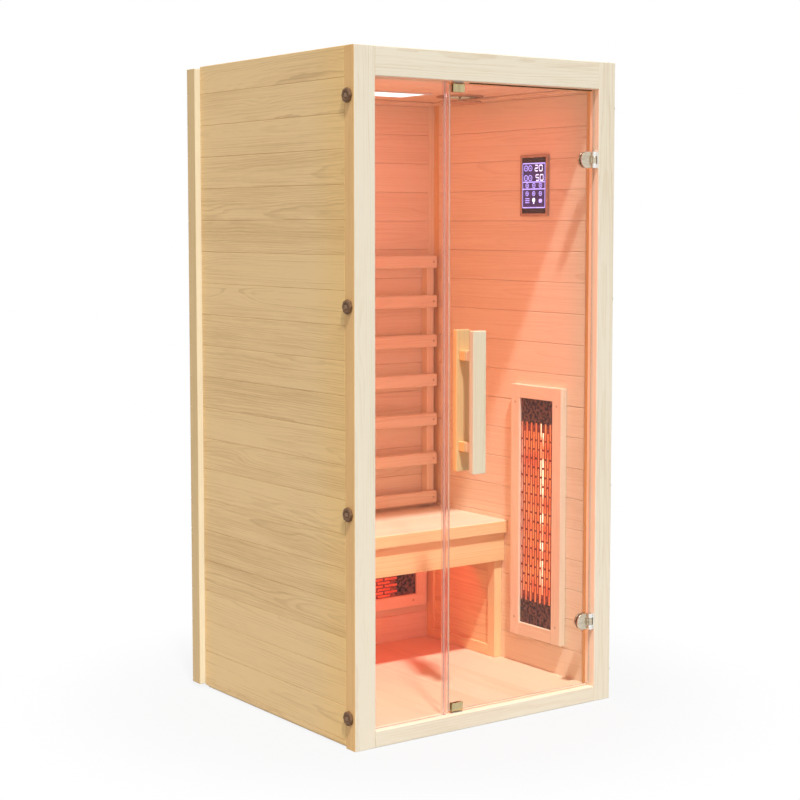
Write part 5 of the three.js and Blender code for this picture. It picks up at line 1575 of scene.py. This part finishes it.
@dataclass
class ControlPanel(Assembly):
    """Bezel and display of the control panel on the right wall, with generic symbols and digits."""

    border: float = 0.009
    glow: float = 0.0003

    def build(self) -> None:
        """Builds the bezel, the display and what is lit on it."""
        lo, hi = corners("control_panel_bezel")
        b = self.border
        thick = hi[0] - lo[0]
        shell = Shell("control_bezel", exact=False)
        outline = rounded_rectangle(lo[1:], hi[1:], (0.004,) * 4, 5)
        pairs = [(0, 1.0), (0, 0.2), (0.0006, 0.06), (0.002, 0), (b - 0.003, 0), (b - 0.001, 0.1), (b, 0.25), (b, 1.0)]
        insets = np.array([p[0] for p in pairs])
        places = np.array([lo[0] + p[1] * thick for p in pairs])
        points, normals = ring_grid(outline, Axis.X, insets, places, np.zeros(len(pairs)))
        shell.grid(points[::-1], normals[::-1], closed=True)
        self.put(shell, BEZEL_BROWN, Slot.BEZEL_BROWN, nodes=["control_panel_bezel"])

        outer_lo, outer_hi = lo, hi
        lo, hi = corners("control_panel_display")
        lo[1:], hi[1:] = outer_lo[1:] + b, outer_hi[1:] - b
        shell = Shell("control_display")
        shell.bar(rounded_rectangle(lo[1:], hi[1:], (0.001,) * 4, 4), Axis.X, (lo[0], hi[0]), 0.0005)
        self.put(shell, DISPLAY_BLACK, Slot.DISPLAY_BLACK, nodes=["control_panel_display"])
        self.face = lo[0]
        self.middle = (lo[1:] + hi[1:]) / 2
        self.size = hi[1:] - lo[1:]
        self.symbols()

    def at(self, u: float, v: float) -> Array:
        """Place on the display, in shares of its half size: u to the viewer's right, v up."""
        return self.middle + np.array([-u, v]) * self.size / 2

    def stroke(self, shell: Shell, u: tuple[float, float], v: tuple[float, float]) -> None:
        """A lit bar between two places of the display."""
        a, b = self.at(u[0], v[0]), self.at(u[1], v[1])
        lo, hi = np.minimum(a, b), np.maximum(a, b)
        ease = min(hi - lo) * 0.4
        shell.bar(rounded_rectangle(lo, hi, (ease,) * 4, 3), Axis.X, (self.face - self.glow, self.face + 0.0002), 0.0001, 2)

    def ring(self, shell: Shell, u: float, v: float, radius: float, width: float) -> None:
        """A lit ring: a rectangular section carried round a circle."""
        pairs = [(radius, self.face), (radius - width, self.face), (radius - width, self.face - self.glow), (radius, self.face - self.glow)]
        shell.turned(lobed_circle(self.at(u, v), radius, 28), Axis.X, radius, pairs, closed=True)

    def dot(self, shell: Shell, u: float, v: float, radius: float) -> None:
        """A lit spot."""
        shell.bar(lobed_circle(self.at(u, v), radius, 16), Axis.X, (self.face - self.glow, self.face + 0.0002), 0.0001, 2)

    def digit(self, shell: Shell, u: float, v: float, lit: str) -> None:
        """A seven-segment digit, its segments named a to g clockwise from the top, g in the middle."""
        w, h, t = 0.105, 0.1, 0.04
        bars = {
            "a": ((u - w, u + w), (v + h - t / 2, v + h + t / 2)),
            "g": ((u - w, u + w), (v - t / 2, v + t / 2)),
            "d": ((u - w, u + w), (v - h - t / 2, v - h + t / 2)),
            "f": ((u - w - t, u - w), (v, v + h)),
            "b": ((u + w, u + w + t), (v, v + h)),
            "e": ((u - w - t, u - w), (v - h, v)),
            "c": ((u + w, u + w + t), (v - h, v)),
        }
        for segment in lit:
            self.stroke(shell, *bars[segment])

    def symbols(self) -> None:
        """A lit field, lines, rings and signs in lilac, digits in white."""
        field_plate = Shell("control_lit_field")
        low, high = self.at(0.95, -0.79), self.at(-0.95, 0.79)
        span = (self.face - self.glow / 3, self.face + self.glow)
        field_plate.bar(rounded_rectangle(low, high, (0.001,) * 4, 3), Axis.X, span, self.glow / 4, 2)
        self.put(field_plate, FIELD_GLOW, Slot.DISPLAY_BLACK)
        lines = Shell("control_symbols", exact=False)
        for v in (0.79, 0.125, -0.125, -0.79):
            self.stroke(lines, (-0.94, 0.94), (v - 0.018, v + 0.018))
        for u in (-0.94, 0.94):
            self.stroke(lines, (u - 0.018, u + 0.018), (-0.79, 0.79))
        for v in (0.62, 0.27):
            for u in (-0.66, -0.3):
                self.ring(lines, u, v, 0.0092, 0.0021)
                self.stroke(lines, (u - 0.05, u + 0.05), (v - 0.012, v + 0.012))
        for v, size in ((0.0, 0.0075), (-0.29, 0.0072)):
            for u in (-0.56, 0.0, 0.56):
                self.ring(lines, u, v, size, 0.0019)
                self.dot(lines, u, v, 0.0022)
        for v in (-0.47, -0.54, -0.61):
            self.stroke(lines, (-0.72, -0.36), (v - 0.014, v + 0.014))
        self.stroke(lines, (0.42, 0.7), (-0.62, -0.48))
        self.put(lines, SYMBOL_GLOW, Slot.DISPLAY_BLACK)
        digits = Shell("control_digits", exact=False)
        for u, lit in ((0.22, "abged"), (0.58, "abcdef")):
            self.digit(digits, u, 0.62, lit)
        for u, lit in ((0.3, "acdfg"), (0.66, "abcdef")):
            self.digit(digits, u, 0.28, lit)
        self.dot(digits, 0.0, -0.52, 0.0068)
        self.stroke(digits, (-0.06, 0.06), (-0.66, -0.6))
        self.put(digits, DIGIT_GLOW, Slot.DISPLAY_BLACK)


@dataclass
class CeilingFittings(Assembly):
    """Lamp, vent and power box of the ceiling."""

    bore: float = 0.048
    flange: float = 0.074
    disc: float = 0.068
    stem: float = 0.004
    steps: int = 64

    def build(self, nodes: dict[str, bpy.types.Object]) -> None:
        """Builds the vent, and dresses the lamp and the power box."""
        self.dress("lamp_housing", LAMP_WHITE, nodes)
        self.dress("lamp_diffuser", DIFFUSER_GLOW, nodes)
        self.dress("power_box", BOX_WHITE, nodes)
        self.dress("vent_ring", VENT_PINE, nodes)
        self.vent_disc()

    def vent_disc(self) -> None:
        """A turned wooden disc on its stem: rings of a circle from the top of the stem to the middle of the face."""
        lo, hi = corners("vent_disc")
        centre = ((lo[0] + hi[0]) / 2, (lo[1] + hi[1]) / 2)
        reach = (hi[0] - lo[0]) / 2
        top = lo[2] + 0.008
        profile = [(0.002, lo[2]), (0.03, lo[2] + 0.0002), (0.06, lo[2] + 0.0012), (reach - 0.002, lo[2] + 0.0026)]
        profile += [(reach, lo[2] + 0.0046), (reach - 0.0016, top - 0.0004), (reach - 0.004, top)]
        profile += [(0.006, top), (self.stem, top + 0.002), (self.stem, hi[2] - 0.0006), (self.stem - 0.0006, hi[2])]
        shell = Shell("vent_disc_turned", exact=False)
        shell.turned(lobed_circle(centre, reach, self.steps), Axis.Z, reach, profile)
        self.put(shell, VENT_PINE, Slot.INTERIOR_PINE, Body.VENT, ["vent_disc"])


# Stage, light and camera


@dataclass
class Studio:
    """Pale floor, soft light, the cabin's own glow and the camera."""

    daylight: float = 0.37
    key_strength: float = 3.3
    key_elevation: float = 61.0
    key_turn: float = 22.0
    side_strength: float = 0.35
    side_elevation: float = 32.0
    side_turn: float = 98.0
    floor_white: float = 0.42
    red: Colour = (1.0, 0.0, 0.0)
    amber: Colour = (1.0, 0.32, 0.02)
    cool: Colour = (0.1, 0.7, 0.75)
    ember: Colour = (1.0, 0.22, 0.06)
    dusk: Colour = (0.1, 0.7, 1.0)
    honey: Colour = (1.0, 0.42, 0.0)

    def build(self) -> None:
        """Builds the stage."""
        scene = bpy.context.scene
        scene.view_settings.view_transform = "Standard"
        self.world(scene)
        self.floor(scene)
        self.sun(scene, "key", self.key_strength, self.key_elevation, self.key_turn)
        self.sun(scene, "side", self.side_strength, self.side_elevation, self.side_turn)
        self.inner_lamps(scene)
        self.camera(scene)

    def world(self, scene: bpy.types.Scene) -> None:
        """White for what is seen directly, in metal or through glass, softer as a light."""
        world = bpy.data.worlds.new("studio")
        scene.world = world
        world.use_nodes = True
        sheet = NodeSheet(world.node_tree)
        seen = sheet.ray("Is Camera Ray", "Is Glossy Ray", "Is Transmission Ray")
        strength = sheet.math("MULTIPLY_ADD", seen, 1.0 - self.daylight, self.daylight)
        background = world.node_tree.nodes["Background"]
        background.inputs["Color"].default_value = (1, 1, 1, 1)
        sheet.tree.links.new(strength, background.inputs["Strength"])

    def floor(self, scene: bpy.types.Scene) -> None:
        """A wide disc that takes the cabin's shadow and fades into the white of the world."""
        rings = np.array([0.0005, 1, 2, 3, 5, 8, 14, 26])
        turn = np.linspace(0, 2 * math.pi, 64, endpoint=False)
        points = np.zeros((len(rings), len(turn), 3))
        points[..., 0] = rings[:, None] * np.cos(turn)
        points[..., 1] = rings[:, None] * np.sin(turn)
        points[..., 2] = -0.0006
        index = np.arange(points.size // 3).reshape(len(rings), len(turn))
        low, high = index[:-1], index[1:]
        quads = np.stack([low, high, np.roll(high, -1, 1), np.roll(low, -1, 1)], -1).reshape(-1, 4)
        mesh = bpy.data.meshes.new("studio_floor")
        mesh.from_pydata(points.reshape(-1, 3), [], quads.tolist() + [index[0].tolist()])
        floor = bpy.data.objects.new("studio_floor", mesh)
        scene.collection.objects.link(floor)
        material, sheet, shader, output = new_material("studio_floor")
        shader.inputs["Base Color"].default_value = (self.floor_white,) * 3 + (1,)
        shader.inputs["Roughness"].default_value = 0.9
        shader.inputs["Specular IOR Level"].default_value = 0.1
        away = sheet.place("VectorMath", {0: sheet.place("TexCoord").outputs["Object"]}, operation="LENGTH").outputs[1]
        fade = sheet.math("MULTIPLY_ADD", sheet.step(away, 0.6, 1.25), 0.12, 0.88)
        seen = sheet.ray("Is Camera Ray", "Is Glossy Ray", "Is Transmission Ray")
        white = sheet.place("Emission", {"Color": (1, 1, 1, 1), "Strength": 1.0})
        mix = sheet.place("MixShader", {0: sheet.math("MULTIPLY", fade, seen), 1: shader.outputs[0], 2: white.outputs[0]})
        sheet.tree.links.new(mix.outputs[0], output.inputs["Surface"])
        mesh.materials.append(material)
        floor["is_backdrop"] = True

    def sun(self, scene: bpy.types.Scene, name: str, strength: float, elevation: float, turn: float) -> None:
        """Adds a soft sun.

        Args:
            scene: scene that takes it.
            name: name of the lamp.
            strength: its strength.
            elevation: degrees above the horizon that it stands.
            turn: degrees from the front to the left at which it stands.
        """
        lamp = bpy.data.lights.new(name, "SUN")
        lamp.energy = strength
        lamp.angle = math.radians(3.5)
        sun = bpy.data.objects.new(name, lamp)
        sun.rotation_euler = (math.radians(90 - elevation), 0, -math.radians(turn))
        scene.collection.objects.link(sun)

    def inner_lamps(self, scene: bpy.types.Scene) -> None:
        """Red light of the heaters and of the ceiling inside the cabin."""
        left, down, out = (0, -90, 0), (0, 0, 0), (-90, 0, 0)
        for name, place, turn, size, power, colour in (
            ("seat_shade", (0.0, 0.14, 0.33), (50, 0, 0), (0.7, 0.2), 0.8, self.red),
            ("front_glow", (0.0, -0.372, 0.93), out, (0.76, 1.74), 3.0, self.ember),
            ("room_fill", (0.0, -0.02, 1.79), down, (0.72, 0.7), 0.5, self.red),
            ("left_fill", (-0.37, -0.05, 1.05), left, (1.3, 0.5), 2.15, self.amber),
            ("front_fill", (-0.05, -0.345, 1.0), (90, 0, 0), (0.7, 1.5), 2.4, self.red),
            ("top_fill", (-0.1, -0.345, 1.5), (90, 0, 0), (0.55, 0.5), 0.22, self.dusk),
            ("low_fill", (-0.37, -0.12, 0.5), left, (0.7, 0.5), 0.4, self.honey),
            ("ceiling_lamp", (0.0, 0.03, 1.79), down, (0.5, 0.4), 0.45, self.cool),
        ):
            lamp = bpy.data.lights.new(name, "AREA")
            lamp.shape = "RECTANGLE"
            lamp.size, lamp.size_y = size
            lamp.energy = power
            lamp.color = colour
            glow = bpy.data.objects.new(name, lamp)
            glow.location = place
            glow.rotation_euler = [math.radians(a) for a in turn]
            glow.visible_camera = False
            glow.visible_glossy = False
            glow.visible_transmission = False
            scene.collection.objects.link(glow)

    def camera(self, scene: bpy.types.Scene) -> None:
        """The photograph's view: from the left of the front, a little above the middle."""
        data = bpy.data.cameras.new("view")
        data.sensor_width = 36
        data.lens = 77.7392
        data.shift_y = -0.04
        data.clip_end = 200
        view = bpy.data.objects.new("view", data)
        view.location = (-3.04835, -4.22174, 1.42474)
        view.rotation_euler = (math.radians(90 - 4.7175), 0, -math.radians(35.8123))
        scene.collection.objects.link(view)
        scene.camera = view


def plain(box: tuple[Iterable[float], Iterable[float]]) -> list[list[float]]:
    """Corners of a box as plain lists."""
    return [[float(value) for value in corner] for corner in box]


def main() -> None:
    """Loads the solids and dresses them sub-assembly by sub-assembly."""
    logging.basicConfig(level=logging.INFO, format="%(name)s: %(message)s")
    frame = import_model()
    cad_box = plain(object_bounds())
    nodes = frame["nodes"]
    Studio().build()
    book = FinishBook(Effects(pine_grain_group(), surface_mottle_group()))
    Walls(book).build()
    FloorAndCeiling(book).build(nodes)
    FrontFrame(book).build()
    FrontGlass(book).build()
    DoorFittings(book).build(nodes)
    Bench(book).build()
    Heaters(book).build(nodes)
    ControlPanel(book).build()
    CeilingFittings(book).build(nodes)
    visual_box = plain(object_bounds())
    LOG.info("solids %s, visual model %s", cad_box, visual_box)


if __name__ == "__main__":
    main()
